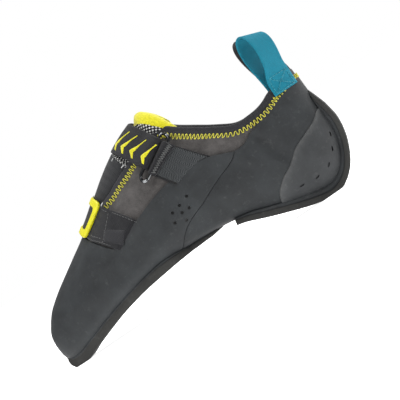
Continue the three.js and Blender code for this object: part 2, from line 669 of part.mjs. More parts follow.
// The straps stop at the edge of the rubber, which covers their sewn ends on the real shoe
const rubberEdge = form(GAP + RAND + 20).intersect(sidePrism([
  ...moved(outline(RAND_TOP.slice(1)), GAP),
  ...moved(outline(SLING_TOP.slice(1)), GAP),
  corner(FAR, -FAR),
  corner(-FAR * 2, -FAR),
  corner(-FAR * 2, sidePoint(RAND_TOP[1]).y),
]));
const trimmed = (geometry) => solidOf(geometry).subtract(rubberEdge);
const TAB_SPACE = 0.04;
solidFor.instep_strap = trimmed(foldedStrap(INSTEP_STRAP, 3, INSTEP_TAB.rows[0] - TAB_SPACE, 12));
solidFor.instep_webbing = trimmed(foldedStrap(INSTEP_WEBBING, 1, 0.6, 9));
solidFor.toe_strap = trimmed(foldedStrap(TOE_STRAP, 3, TOE_TAB.rows[0] - TAB_SPACE, 12));
solidFor.toe_webbing = trimmed(foldedStrap(TOE_WEBBING, 1, 0.5, 9));
geometryFor.instep_ring = strapRing(INSTEP_RING);
geometryFor.toe_ring = strapRing(TOE_RING);

// Yellow pull tabs at the free strap ends, each a frame round a window
const TAB_LIFT = STRAP_LIFT + WEBBING + GAP;
function pullTab(rows, tab) {
  const frame = solidOf(patch(rows, ...tab.rows, -0.02, 1.02, TAB_LIFT, TAB));
  return frame.subtract(solidOf(patch(rows, ...tab.window, 0.16, 0.84, TAB_LIFT - TAB, TAB * 3)));
}
solidFor.toe_tab = pullTab(TOE_STRAP, TOE_TAB);
solidFor.instep_tab = pullTab(INSTEP_STRAP, INSTEP_TAB);

// A sheet across the throat by rows of station, outer girth, inner girth and bulge, highest at its middle
function throatSheet(table, lift, thick, bulge) {
  const rows = table.map(([station, outer, inner]) => ({
    front: station, frontGirth: outer, rear: station, rearGirth: inner,
  }));
  const swells = table.map((row, i) => [i, (row[3] ?? 1) * bulge]);
  const face = (height) => table.map((_, i) => new THREE.Vector2(i, height));
  return solidOf(ribbon(face(lift), face(lift - thick), 8, (p, share) => {
    const swell = lookUp(swells, p.x) * (1 - (2 * share - 1) ** 2);
    return rowPoint(rows, p.x, share, p.y + swell);
  }));
}

// Tongue: under the throat, and out of the collar above it
const pad = throatSheet(TONGUE_ROWS, -UPPER_WALL - 4 * GAP, TONGUE, TONGUE_BULGE);
const cover = form(2 * TONGUE).subtract(form(-UPPER_WALL - GAP)).subtract(opening(-2 * GAP - BINDING));
solidFor.tongue = pad.subtract(cover);

// Elastic that closes the front of the throat between its bindings, pushed up by the tongue under it
solidFor.throat_gusset = throatSheet(ELASTIC_ROWS, 0, ELASTIC, ELASTIC_BULGE)
  .intersect(opening(-GAP - BINDING - GAP));

// The angle on a ring's outer side at a share of its height
function angleAtHeight(ring, share) {
  if (share < ring.belly) return Math.acos((1 - Math.max(0, share) / ring.belly) ** (ring.square / 2));
  return Math.PI - Math.acos(Math.min(1, (share - ring.belly) / (1 - ring.belly)) ** (ring.dome / 2));
}

// A point on the outer wall of the heel, given in side view
function wallPoint(x, z, lift) {
  const stations = Array.from({ length: 36 }, (_, i) => LAST_STATION - 8 + i * 0.2);
  const shareAt = (station) => {
    const ring = ringAt(station);
    return (z - ring.bottom[1]) / (ring.top[1] - ring.bottom[1]);
  };
  const table = stations.map((station) => [sidePoint([station, shareAt(station)]).x, station]);
  const station = lookUp(table, x);
  return formPoint(station, angleAtHeight(ringAt(station), shareAt(station)), lift);
}

// A pull loop: tape sewn to the outside of the collar, arched up and sewn again to the inside. It is turned
// a little between its seat and its top, and its front edge is the higher one.
function pullLoop(sign, lean) {
  const seatOut = GAP + BINDING + 2 * GAP + LOOP_TAPE / 2;
  const seatIn = -UPPER_WALL - GAP - BINDING - 2 * GAP - LOOP_TAPE / 2;
  const steps = 12;
  const path = [new THREE.Vector2(seatOut, -LOOP_SEAT), new THREE.Vector2(seatOut, -LOOP_SEAT / 2)];
  for (let i = 0; i <= steps; i++) {
    const share = i / steps;
    const ease = share * share * (3 - 2 * share);
    const swell = LOOP_BELLY * Math.sin(2 * Math.PI * share);
    const rise = LOOP_RISE * Math.sin(Math.PI * share) ** 0.8;
    path.push(new THREE.Vector2(lerp(seatOut, seatIn, ease) + swell, rise));
  }
  path.push(new THREE.Vector2(seatIn, -LOOP_SEAT / 2), new THREE.Vector2(seatIn, -LOOP_SEAT));
  const wall = (share, height, lift) =>
    wallPoint(LOOP_FRONT + LOOP_REACH * share, LOOP_HEIGHT + height, lift);
  const ends = [wall(0, 0, 0), wall(1, 0, 0)];
  const along = ends[1].clone().sub(ends[0]).setZ(0).normalize();
  const out = new THREE.Vector3(along.y, -along.x, 0);
  const centre = wall(0.5, 0, 0);
  return ribbon(moved(path, -LOOP_TAPE / 2), moved(path, LOOP_TAPE / 2), 4, (p, share) => {
    const seated = wall(share, Math.min(p.y, 0), p.x);
    const up = Math.max(0, p.y);
    const aside = (share - 0.5) * LOOP_WIDTH;
    const turn = LOOP_TURN * Math.sin((Math.PI * Math.min(up, LOOP_RISE)) / LOOP_RISE);
    const free = centre.clone()
      .addScaledVector(along, aside * Math.cos(turn))
      .addScaledVector(out, p.x - aside * Math.sin(turn))
      .add(new THREE.Vector3(up * lean, 0, 0));
    free.z = LOOP_HEIGHT + up * (1 - ((share - 0.5) * LOOP_TILT) / LOOP_RISE);
    const rise = Math.max(0, Math.min(1, p.y / 14));
    seated.z += Math.max(0, p.y);
    const spot = seated.lerp(free, rise * rise * (3 - 2 * rise));
    return spot.setY(spot.y * sign);
  });
}
geometryFor.pull_loop_outer = pullLoop(1, 0.04);
geometryFor.pull_loop_inner = pullLoop(-1, -0.1);

const COLOURS = {
  suede: 0x4a4848,
  rubber: 0x2f3133,
  sole: 0x2b2c2c,
  binding: 0x26262a,
  board: 0x3a3a3c,
  lining: 0xd9d21c,
  webbing: 0x1c1c1e,
  steel: 0x3c3e40,
  tab: 0xe6e017,
  loop: 0x1f9fb4,
};
const PIECES = [
  ["upper", COLOURS.suede, 0.95, 0],
  ["front_rand", COLOURS.rubber, 0.7, 0],
  ["heel_sling", COLOURS.rubber, 0.7, 0],
  ["heel_cup", COLOURS.rubber, 0.6, 0],
  ["front_outsole", COLOURS.sole, 0.75, 0],
  ["heel_outsole", COLOURS.sole, 0.75, 0],
  ["insole", COLOURS.board, 0.9, 0],
  ["tongue", COLOURS.lining, 0.95, 0],
  ["collar_binding", COLOURS.binding, 0.9, 0],
  ["throat_gusset", COLOURS.webbing, 0.9, 0],
  ["instep_strap", COLOURS.webbing, 0.9, 0],
  ["instep_webbing", COLOURS.webbing, 0.9, 0],
  ["instep_ring", COLOURS.steel, 0.4, 1],
  ["instep_tab", COLOURS.tab, 0.6, 0],
  ["toe_strap", COLOURS.webbing, 0.9, 0],
  ["toe_webbing", COLOURS.webbing, 0.9, 0],
  ["toe_ring", COLOURS.steel, 0.4, 1],
  ["toe_tab", COLOURS.tab, 0.6, 0],
  ["pull_loop_outer", COLOURS.loop, 0.85, 0],
  ["pull_loop_inner", COLOURS.webbing, 0.85, 0],
];

const shoe = new THREE.Group();
for (const [name, color, roughness, metalness] of PIECES) {
  const geometry = geometryFor[name] ?? geometryOf(solidFor[name]);
  const mesh = new THREE.Mesh(geometry, new THREE.MeshStandardMaterial({ color, roughness, metalness }));
  mesh.name = name;
  shoe.add(mesh);
}

export default shoe;
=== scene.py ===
"""A left climbing shoe with two opposed hook-and-loop straps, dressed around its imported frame.

Lengths in this script are millimetres until a mesh is made. The toe points to -X, the outer side of the
foot faces -Y, and the shoe stands on the plane z = 0. A place on the shoe is given on the foot form, the
outer face of the cloth upper, by a station along the foot and a girth round it. Girth is 0 on the line
under the sole, -1 at the instep ridge by the outer side and +1 at the ridge by the inner side.
"""

import logging
import math
from dataclasses import dataclass, field, replace
from enum import Enum

import bpy
import numpy as np
from mathutils import Matrix, Vector

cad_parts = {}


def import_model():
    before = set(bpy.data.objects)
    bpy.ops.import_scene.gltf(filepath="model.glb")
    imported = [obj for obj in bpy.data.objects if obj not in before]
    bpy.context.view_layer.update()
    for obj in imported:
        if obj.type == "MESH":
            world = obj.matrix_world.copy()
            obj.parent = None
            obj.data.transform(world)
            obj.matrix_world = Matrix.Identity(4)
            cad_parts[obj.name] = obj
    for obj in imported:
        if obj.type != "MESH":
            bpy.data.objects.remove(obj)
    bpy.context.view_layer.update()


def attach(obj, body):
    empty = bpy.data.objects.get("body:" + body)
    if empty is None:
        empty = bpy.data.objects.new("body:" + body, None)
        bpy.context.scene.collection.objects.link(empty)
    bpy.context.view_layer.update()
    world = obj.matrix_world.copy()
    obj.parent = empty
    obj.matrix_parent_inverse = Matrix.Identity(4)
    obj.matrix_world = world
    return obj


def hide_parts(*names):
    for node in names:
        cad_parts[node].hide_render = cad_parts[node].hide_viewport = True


LOG = logging.getLogger("climbing_shoe")
METRES = 0.001

# Driving sizes of the foot form
SHOE_LENGTH = 250.0
INSTEP_HEIGHT = 120.0
ARCH_HEIGHT = 28.0
HEEL_HEIGHT = 85.0
BALL_WIDTH = 78.0
HEEL_WIDTH = 56.0

# Thicknesses and clearances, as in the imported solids
GAP = 0.3
UPPER_WALL = 2.0
RAND = 1.8
HEEL_RUBBER = 2.0
OUTSOLE = 4.0
INSOLE = 2.0
BINDING = 1.0
TONGUE = 4.0
ELASTIC = 1.2
WEBBING = 1.2
RING_WIRE = 2.2
TAB = 2.2
LOOP_TAPE = 1.2

SECTION_COLUMNS = (
    "x_bottom", "arch", "seat", "x_top", "instep", "ball",
    "heel", "shift", "ridge", "belly", "square", "dome",
)
# Sections of the form from the toe to above the collar, as shares of the driving sizes
SECTIONS = (
    (-0.864, 0.589, 0, -0.864, 0.153, 0.013, 0, 0.179, 0.179, 0.5, 2.2, 2.2),
    (-0.858, 0.35, 0, -0.86, 0.222, 0.096, 0, 0.173, 0.179, 0.45, 2.4, 2.2),
    (-0.842, 0.257, 0, -0.843, 0.281, 0.167, 0, 0.16, 0.179, 0.4, 3, 2.1),
    (-0.814, 0.271, 0, -0.823, 0.331, 0.231, 0, 0.141, 0.179, 0.36, 3.6, 2.1),
    (-0.778, 0.371, 0, -0.802, 0.367, 0.287, 0, 0.126, 0.177, 0.33, 4.2, 2.1),
    (-0.736, 0.486, 0, -0.774, 0.408, 0.345, 0, 0.106, 0.172, 0.3, 4.6, 2.1),
    (-0.688, 0.611, 0, -0.74, 0.452, 0.403, 0, 0.077, 0.164, 0.28, 4.8, 2.1),
    (-0.632, 0.736, 0, -0.695, 0.509, 0.456, 0, 0.049, 0.154, 0.27, 4.8, 2.05),
    (-0.572, 0.85, 0, -0.646, 0.57, 0.487, 0, 0.017, 0.141, 0.27, 4.6, 2),
    (-0.512, 0.932, 0, -0.594, 0.642, 0.492, 0, -0.015, 0.128, 0.28, 4.2, 2),
    (-0.452, 0.986, 0, -0.54, 0.725, 0.469, 0, -0.046, 0.115, 0.3, 3.6, 2),
    (-0.392, 1, 0, -0.486, 0.805, 0.428, 0, -0.069, 0.096, 0.32, 3.1, 2),
    (-0.332, 0.971, 0, -0.436, 0.868, 0.392, 0, -0.079, 0.077, 0.34, 2.8, 2),
    (-0.272, 0.907, 0, -0.392, 0.913, 0, 0.511, -0.077, 0.058, 0.35, 2.7, 2),
    (-0.216, 0.807, 0, -0.354, 0.943, 0, 0.493, -0.064, 0.045, 0.36, 2.6, 2),
    (-0.16, 0.629, 0, -0.322, 0.963, 0, 0.489, -0.051, 0.033, 0.36, 2.6, 2),
    (-0.1, 0.45, 0, -0.296, 0.978, 0, 0.493, -0.038, 0.026, 0.36, 2.6, 2),
    (-0.04, 0.3, 0, -0.276, 0.992, 0, 0.5, -0.026, 0.019, 0.36, 2.6, 2),
    (0.012, 0.246, 0, -0.262, 1.005, 0, 0.5, -0.015, 0.013, 0.37, 2.5, 2),
    (0.049, 0.379, 0, -0.252, 1.018, 0, 0.496, -0.008, 0.008, 0.38, 2.4, 2),
    (0.075, 0, 0.214, -0.245, 1.032, 0, 0.489, -0.004, 0.005, 0.4, 2.35, 2),
    (0.093, 0, 0.332, -0.24, 1.045, 0, 0.482, -0.001, 0.003, 0.42, 2.3, 2),
    (0.102, 0, 0.456, -0.237, 1.058, 0, 0.475, 0, 0, 0.44, 2.3, 2),
    (0.101, 0, 0.581, -0.234, 1.072, 0, 0.468, 0, 0, 0.45, 2.3, 2),
    (0.098, 0, 0.706, -0.233, 1.085, 0, 0.461, 0, 0, 0.46, 2.3, 2),
    (0.096, 0, 0.835, -0.232, 1.098, 0, 0.454, 0, 0, 0.47, 2.3, 2),
    (0.095, 0, 0.988, -0.232, 1.113, 0, 0.446, 0, 0, 0.48, 2.3, 2),
    (0.095, 0, 1.153, -0.232, 1.13, 0, 0.439, 0, 0, 0.48, 2.3, 2),
)
LAST_STATION = len(SECTIONS) - 1

# Outlines on one side of the shoe: station, and share of the ring's height from the sole line to the ridge
RAND_FRONT = ((8.36, 1.0), (8.51, 0.82), (8.78, 0.59), (9.15, 0.434))
RAND_TOP = (
    (9.15, 0.434), (10.5, 0.493), (11.73, 0.49), (13.07, 0.455), (14.1, 0.49), (15.19, 0.524),
    (15.9, 0.524),
    (17.17, 0.482),
)
SIDE_SEAM = (
    (17.17, 0.482), (16.34, 0.432), (15.03, 0.362), (13.29, 0.246), (11.77, 0.153), (10.75, 0.029),
    (10.45, 0.0),
)
SLING_TOP = (
    (17.17, 0.482), (19.3, 0.48), (20.5, 0.44), (21.9, 0.387), (23.0, 0.305), (23.9, 0.226), (24.7, 0.14),
    (25.3, 0.07), (25.7, 0.0),
)
HEEL_CUP_EDGE = (
    (23.5, 0.0), (22.9, 0.05), (21.95, 0.112), (20.8, 0.185), (19.6, 0.237), (18.4, 0.235),
    (17.25, 0.197),
    (16.4, 0.13), (15.9, 0.06), (15.7, 0.0),
)
COLLAR_RIM = (
    (15.85, 0.855), (16.4, 0.8), (17.56, 0.716), (18.44, 0.653), (19.36, 0.58), (20.33, 0.522),
    (21.37, 0.46),
    (22.98, 0.35), (24.38, 0.245), (25.2, 0.15), (25.9, 0.05), (26.1, 0.0),
)
OUTER_THROAT = (
    (9.72, 1.0), (9.8, 0.97), (10.15, 0.905), (11.12, 0.868), (12.29, 0.862), (13.66, 0.862),
    (15.0, 0.868),
    (15.85, 0.855),
)
INNER_THROAT = (
    (9.72, 1.0), (9.85, 0.985), (10.15, 0.955), (11.12, 0.935), (12.29, 0.93), (13.66, 0.93),
    (15.0, 0.925),
    (15.85, 0.87),
)

# Upper edge of the sole rubber: station, share of the ring's height (below 0 where the sole runs out),
# height of the band that stands proud along the bottom, and depth of the groove above it, the last two in
# millimetres
FRONT_SOLE_TOP = np.array((
    (0.9, -0.2, 9, 0), (1.25, -0.08, 9, 0), (1.7, -0.02, 9, 0), (2.3, 0, 9, 0), (6, 0, 9, 0),
    (8, 0.012, 8, 0), (8.8, 0.015, 7, 0.35), (9.6, 0.018, 6, 0.6),
    (10.3, 0, 5, 0.6), (10.9, -0.03, 4, 0.6), (11.5, -0.045, 3, 0.4), (12.7, -0.05, 2, 0.2),
))
HEEL_SOLE_TOP = np.array((
    (13.34, -0.01, 3.6, 0.4), (14.4, 0.0, 4.1, 0.6), (15.4, 0.004, 4.4, 0.7), (16.85, 0.006, 4.4, 0.7),
    (18.1, 0.004, 4.2, 0.7), (19.2, 0.002, 4.0, 0.6), (20.45, -0.002, 3.8, 0.45),
    (21.85, -0.002, 3.7, 0.4),
    (23.4, -0.004, 3.4, 0.35), (24.2, -0.01, 3, 0.2), (24.7, -0.02, 2, 0),
))

# Soft troughs and swells of the cloth and rubber: a line from one station and girth to another, its half
# width and its height in millimetres, below zero for a trough
CREASES = (
    (7.2, -0.62, 9.4, -0.3, 7.0, -0.75), (8.1, -0.72, 9.9, -0.44, 6.0, 0.68),
    (5.4, -0.5, 7.6, -0.2, 9.0, -0.75), (3.2, -0.78, 5.2, -0.55, 9.0, 0.75),
    (9.7, -0.6, 10.7, -0.78, 3.2, -0.68), (11.1, -0.6, 12.0, -0.8, 3.0, -0.6),
    (13.4, -0.55, 15.2, -0.62, 4.0, -0.75), (15.2, -0.7, 17.2, -0.56, 3.6, -0.83),
    (16.4, -0.5, 17.6, -0.62, 4.0, 0.6), (13.6, -0.12, 16.4, -0.36, 7.0, -1.2),
    (15.6, -0.08, 18.0, -0.32, 7.0, 1.05), (17.4, -0.2, 19.4, -0.42, 6.0, -1.05),
    (19.8, -0.4, 21.6, -0.42, 6.0, 0.75), (20.5, -0.2, 22.6, -0.24, 8.0, -0.75),
    (11.4, -0.2, 13.4, -0.28, 6.0, -0.75), (7.0, 0.6, 9.6, 0.35, 7.0, -0.75),
    (14.0, 0.2, 17.5, 0.4, 8.0, -0.9), (16.0, 0.62, 17.6, 0.52, 4.0, -0.75),
)
# Rough length in millimetres of one station along the foot, and of a girth of 1 round it
STATION_RUN = 14.0
GIRTH_RUN = 105.0

# The sole under each station: depth of its bottom in shares of OUTSOLE
SOLE = np.array((
    (0, 0), (0.5, 0), (1, -0.12), (1.25, 0.16), (1.5, 0.6), (2, 1.35), (2.5, 1.4), (3, 1.4), (4, 1.15),
    (6, 1), (8, 1), (9.5, 1.05), (10.5, 0.95), (11.3, 0.85), (12.1, 0.55), (12.65, 0.02), (13.3, 0.75),
    (14.4, 0.95), (16, 1.05), (17, 1.2), (18, 1.4), (19, 1.2), (20, 1.1), (21, 1.1), (22.3, 1.05),
    (23.2, 0.8),
    (23.9, 0.4), (24.3, 0.12), (24.66, -0.1), (27, -0.1),
))

# Straps by the rows they cross: station and girth from the ridge at the front end, then at the rear end
INSTEP_STRAP = (
    (12.6, -0.323, 14.8, -0.238), (12.1, 0, 14.2, 0), (12.3, 0.27, 14.8, 0.25), (12.7, 0.54, 15.6, 0.52),
)
INSTEP_RING = ((12.6, -0.323, 14.8, -0.238), (12.6, -0.375, 14.9, -0.285))
INSTEP_WEBBING = ((12.6, -0.375, 14.9, -0.285), (13, -0.52, 16, -0.49))
INSTEP_TAB = ((1.35, 2.1), (1.47, 1.97))
TOE_STRAP = (
    (8.55, 0.27, 10.05, 0.27), (8.44, 0, 9.9, 0), (8.5, -0.26, 10.06, -0.25), (9.1, -0.54, 10.6, -0.54),
)
TOE_RING = ((8.55, 0.27, 10.05, 0.27), (8.58, 0.326, 10.12, 0.326))
TOE_WEBBING = ((8.58, 0.326, 10.12, 0.326), (8.95, 0.52, 10.4, 0.52))
TOE_TAB = ((0.66, 1.8), (0.79, 1.66))
TAB_SPACE = 0.04
ELASTIC_BULGE = 3.6
TONGUE_BULGE = 8.5

# Tongue: station, girth from the ridge on the outer and on the inner side, and share of its bulge
TONGUE_ROWS = (
    (9.3, -0.3, 0.24, 0), (10.2, -0.34, 0.26, 0), (11.2, -0.34, 0.26, 0.3), (11.9, -0.335, 0.26, 0.5),
    (12.1, -0.33, 0.26, 0.8), (12.35, -0.33, 0.26, 0.42), (13.2, -0.31, 0.26, 0.42),
    (14.1, -0.3, 0.26, 0.4), (14.7, -0.29, 0.26, 0.75), (15.3, -0.28, 0.25, 0.97),
    (16.1, -0.27, 0.2, 0.85), (16.6, -0.23, 0.14, 0.5),
)
# Where the tongue's mesh ends and its lining shows: distance in girth from the ridge, and station
LINING_EDGE = np.array(((0, 13.9), (0.11, 15.0), (0.182, 15.6), (0.228, 16.1), (0.4, 16.5)))


class Side(Enum):
    """The two sides of the foot, as the sign of the girth."""

    OUTER = -1
    INNER = 1


class FootForm:
    """The foot form: rings of two quarter superellipses a side, blended from station to station."""

    def __init__(self) -> None:
        """Sizes the section table and measures each side's girth at a row of stations."""
        table = np.array(SECTIONS, dtype=float)
        cells = {name: table[:, i] for i, name in enumerate(SECTION_COLUMNS)}
        self.columns = {
            "xb": cells["x_bottom"] * SHOE_LENGTH,
            "zb": cells["arch"] * ARCH_HEIGHT + cells["seat"] * HEEL_HEIGHT,
            "xt": cells["x_top"] * SHOE_LENGTH,
            "zt": cells["instep"] * INSTEP_HEIGHT,
            "half": cells["ball"] * BALL_WIDTH + cells["heel"] * HEEL_WIDTH,
            "yb": cells["shift"] * BALL_WIDTH,
            "yt": cells["ridge"] * BALL_WIDTH,
            "belly": cells["belly"],
            "square": cells["square"],
            "dome": cells["dome"],
        }
        self.grid_step = 0.1
        self.grid = np.arange(0, LAST_STATION + self.grid_step / 2, self.grid_step)
        self.fine = np.linspace(0, math.pi, 721)
        self.shares = np.linspace(0, 1, 241)
        self.angles = {}
        self.girths = {}
        for side in Side:
            points = self.skin(self.grid[:, None], -side.value * self.fine[None, :])
            steps = np.linalg.norm(np.diff(points, axis=1), axis=2)
            run = np.concatenate([np.zeros((len(self.grid), 1)), np.cumsum(steps, axis=1)], axis=1)
            total = run[:, -1:]
            self.girths[side] = run / total
            self.angles[side] = np.array([np.interp(self.shares, row, self.fine) for row in run / total])

    def ring(self, station: np.ndarray) -> dict[str, np.ndarray]:
        """Blends the section table at each station, by a cubic curve through its rows.

        Args:
            station: places along the foot, counted in sections from the toe.

        Returns:
            The ring's sizes in millimetres, by name.
        """
        station = np.asarray(station, dtype=float)
        low = np.clip(np.floor(station).astype(int), 0, LAST_STATION - 1)
        t = station - low
        made = {}
        for name, column in self.columns.items():
            a, b, c, d = (column[np.clip(low + k, 0, LAST_STATION)] for k in (-1, 0, 1, 2))
            made[name] = 0.5 * (
                2 * b + (c - a) * t + (2 * a - 5 * b + 4 * c - d) * t**2 + (3 * b - a - 3 * c + d) * t**3
            )
        return made

    def skin(self, station: np.ndarray, angle: np.ndarray) -> np.ndarray:
        """Points of the form. Height and breadth are powers of the cosine and sine of the ring's angle.

        Args:
            station: places along the foot.
            angle: angle round the ring, 0 under the sole and positive towards the outer side.

        Returns:
            Points in millimetres.
        """
        ring = self.ring(station)
        s, c = np.sin(angle), np.cos(angle)
        power = 2 / np.where(c > 0, ring["square"], ring["dome"])
        rise = np.abs(c) ** power
        height = np.where(c > 0, ring["belly"] * (1 - rise), ring["belly"] + (1 - ring["belly"]) * rise)
        breadth = -np.sign(s) * ring["half"] * np.abs(s) ** power
        x = ring["xb"] + (ring["xt"] - ring["xb"]) * height
        y = ring["yb"] + (ring["yt"] - ring["yb"]) * height + breadth
        z = ring["zb"] + (ring["zt"] - ring["zb"]) * height
        return np.stack(np.broadcast_arrays(x, y, z), axis=-1)

    def look_up(self, tables: dict, station: np.ndarray, across: np.ndarray,
                girth: np.ndarray) -> np.ndarray:
        """Reads a table of stations by columns with straight blending, on the side that the girth names."""
        row = np.clip(station / self.grid_step, 0, len(self.grid) - 1.001)
        i = np.floor(row).astype(int)
        u = row - i
        top = tables[Side.OUTER].shape[1] - 1
        column = np.clip(across, 0, 1) * top
        j = np.minimum(np.floor(column).astype(int), top - 1)
        v = column - j
        made = [
            (t[i, j] * (1 - u) + t[i + 1, j] * u) * (1 - v)
            + (t[i, j + 1] * (1 - u) + t[i + 1, j + 1] * u) * v
            for t in (tables[Side.OUTER], tables[Side.INNER])
        ]
        return np.where(girth < 0, made[0], made[1])

    def angle_of(self, station: np.ndarray, girth: np.ndarray) -> np.ndarray:
        """The ring angle at a girth, which may run past the ridge and on down the other side."""
        girth = (np.asarray(girth, dtype=float) + 1) % 2 - 1
        angle = self.look_up(self.angles, station, np.abs(girth), girth)
        return np.where(girth < 0, angle, -angle)

    def girth_at_height(self, station: np.ndarray, share: np.ndarray, side: Side) -> np.ndarray:
        """The girth where a ring reaches a share of its height, by the superellipse solved for its angle."""
        ring = self.ring(station)
        low = np.clip(1 - share / ring["belly"], 0, 1) ** (ring["square"] / 2)
        high = np.clip((share - ring["belly"]) / (1 - ring["belly"]), 0, 1) ** (ring["dome"] / 2)
        angle = np.where(share < ring["belly"], np.arccos(low), math.pi - np.arccos(high))
        sign = np.full(np.shape(angle), float(side.value))
        return sign * self.look_up(self.girths, station, angle / math.pi, sign)

    def height_share(self, station: np.ndarray, girth: np.ndarray) -> np.ndarray:
        """The share of the ring's height at a girth, a power of the cosine of its angle."""
        ring = self.ring(station)
        c = np.cos(self.angle_of(station, girth))
        rise = np.abs(c) ** (2 / np.where(c > 0, ring["square"], ring["dome"]))
        return np.where(c > 0, ring["belly"] * (1 - rise), ring["belly"] + (1 - ring["belly"]) * rise)

    def at(self, station: np.ndarray, girth: np.ndarray, lift: np.ndarray | float) -> np.ndarray:
        """Points at a station and girth, moved out by a lift along the form's normal.

        Args:
            station: places along the foot.
            girth: signed shares of half the ring.
            lift: distances out from the form, in millimetres.

        Returns:
            Points in millimetres.
        """
        station, girth = np.broadcast_arrays(np.asarray(station, float), np.asarray(girth, float))
        angle = self.angle_of(station, girth)
        step = 0.02
        along = self.skin(station + step, angle) - self.skin(station - step, angle)
        around = self.skin(station, angle + step) - self.skin(station, angle - step)
        normal = np.cross(along, around)
        normal /= np.maximum(np.linalg.norm(normal, axis=-1, keepdims=True), 1e-9)
        height = np.asarray(lift, float) + self.relief(station, girth)
        return self.skin(station, angle) + normal * height[..., None]

    @staticmethod
    def relief(station: np.ndarray, girth: np.ndarray) -> np.ndarray:
        """Height of the soft troughs and swells: a bell of the distance to each crease's line, summed."""
        girth = (girth + 1) % 2 - 1
        total = np.zeros(station.shape)
        for s0, g0, s1, g1, width, height in CREASES:
            along = np.array([(s1 - s0) * STATION_RUN, (g1 - g0) * GIRTH_RUN])
            x, y = (station - s0) * STATION_RUN, (girth - g0) * GIRTH_RUN
            t = np.clip((x * along[0] + y * along[1]) / (along @ along), 0, 1)
            total += height * np.exp(-((x - along[0] * t) ** 2 + (y - along[1] * t) ** 2) / width**2)
        return total

    def normals(self, station: np.ndarray, girth: np.ndarray) -> np.ndarray:
        """Unit normals of the form."""
        return self.at(station, girth, np.ones(np.shape(station))) - self.at(station, girth, 0)


FORM = FootForm()


def run_along(points: np.ndarray) -> np.ndarray:
    """Length run from the first point of a line to each of its points: the sum of the steps before it."""
    return np.concatenate([[0], np.cumsum(np.linalg.norm(np.diff(points, axis=0), axis=1))])


def eased(share: np.ndarray) -> np.ndarray:
    """A share from 0 to 1 with a soft start and end: three times its square less twice its cube."""
    return share * share * (3 - 2 * share)


def smooth_line(points: np.ndarray, count: int) -> np.ndarray:
    """A cubic curve through points of any dimension, sampled at even steps of its own length.

    Args:
        points: the points that it passes.
        count: how many samples.

    Returns:
        The samples, both ends included.
    """
    points = np.asarray(points, dtype=float)
    padded = np.vstack([2 * points[0] - points[1], points, 2 * points[-1] - points[-2]])
    t = np.linspace(0, 1, 24, endpoint=False)[None, :, None]
    a, b, c, d = (padded[k:len(points) - 1 + k, None, :] for k in range(4))
    curve = 0.5 * (2 * b + (c - a) * t + (2 * a - 5 * b + 4 * c - d) * t**2 + (3 * b - a - 3 * c + d) * t**3)
    dense = np.vstack([curve.reshape(-1, points.shape[1]), points[-1:]])
    run = run_along(dense)
    at = np.linspace(0, run[-1], count)
    return np.stack([np.interp(at, run, dense[:, k]) for k in range(points.shape[1])], axis=1)


def even_on_form(line: np.ndarray, count: int) -> np.ndarray:
    """Resamples a line of stations and girths at even steps of its length on the form."""
    spots = FORM.at(line[:, 0], line[:, 1], 0)
    run = run_along(spots)
    at = np.linspace(0, run[-1], count)
    return np.stack([np.interp(at, run, line[:, k]) for k in range(2)], axis=1)


def outline(table: tuple, side: Side, count: int = 160) -> np.ndarray:
    """An outline as stations and girths: the table's points joined by a smooth line in side view shares."""
    line = smooth_line(np.array(table), count)
    girth = FORM.girth_at_height(line[:, 0], line[:, 1], side)
    return np.stack([line[:, 0], girth], axis=1)


def linear(colour: str) -> tuple[float, float, float, float]:
    """Turns an sRGB hex colour such as 3a3c3e to linear light with full alpha."""
    parts = [int(colour[i:i + 2], 16) / 255 for i in (0, 2, 4)]
    return (*((c / 12.92 if c <= 0.04045 else ((c + 0.055) / 1.055) ** 2.4) for c in parts), 1.0)


def grid_faces(rows: int, columns: int, start: int = 0, wrap: bool = False) -> np.ndarray:
    """Quads of a grid of points, kept row by row, closed across its columns where wrap is true."""
    i = np.arange(rows - 1)[:, None]
    j = np.arange(columns if wrap else columns - 1)[None, :]
    k = (j + 1) % columns
    quads = np.stack(np.broadcast_arrays(i * columns + j, i * columns + k, (i + 1) * columns + k,
                                         (i + 1) * columns + j), axis=-1)
    return quads.reshape(-1, 4) + start


def last_to_first(rows: int, columns: int) -> list:
    """Quads that join the last row of a grid, closed across its columns, back to its first."""
    end = (rows - 1) * columns
    return [(end + k, end + (k + 1) % columns, (k + 1) % columns, k) for k in range(columns)]


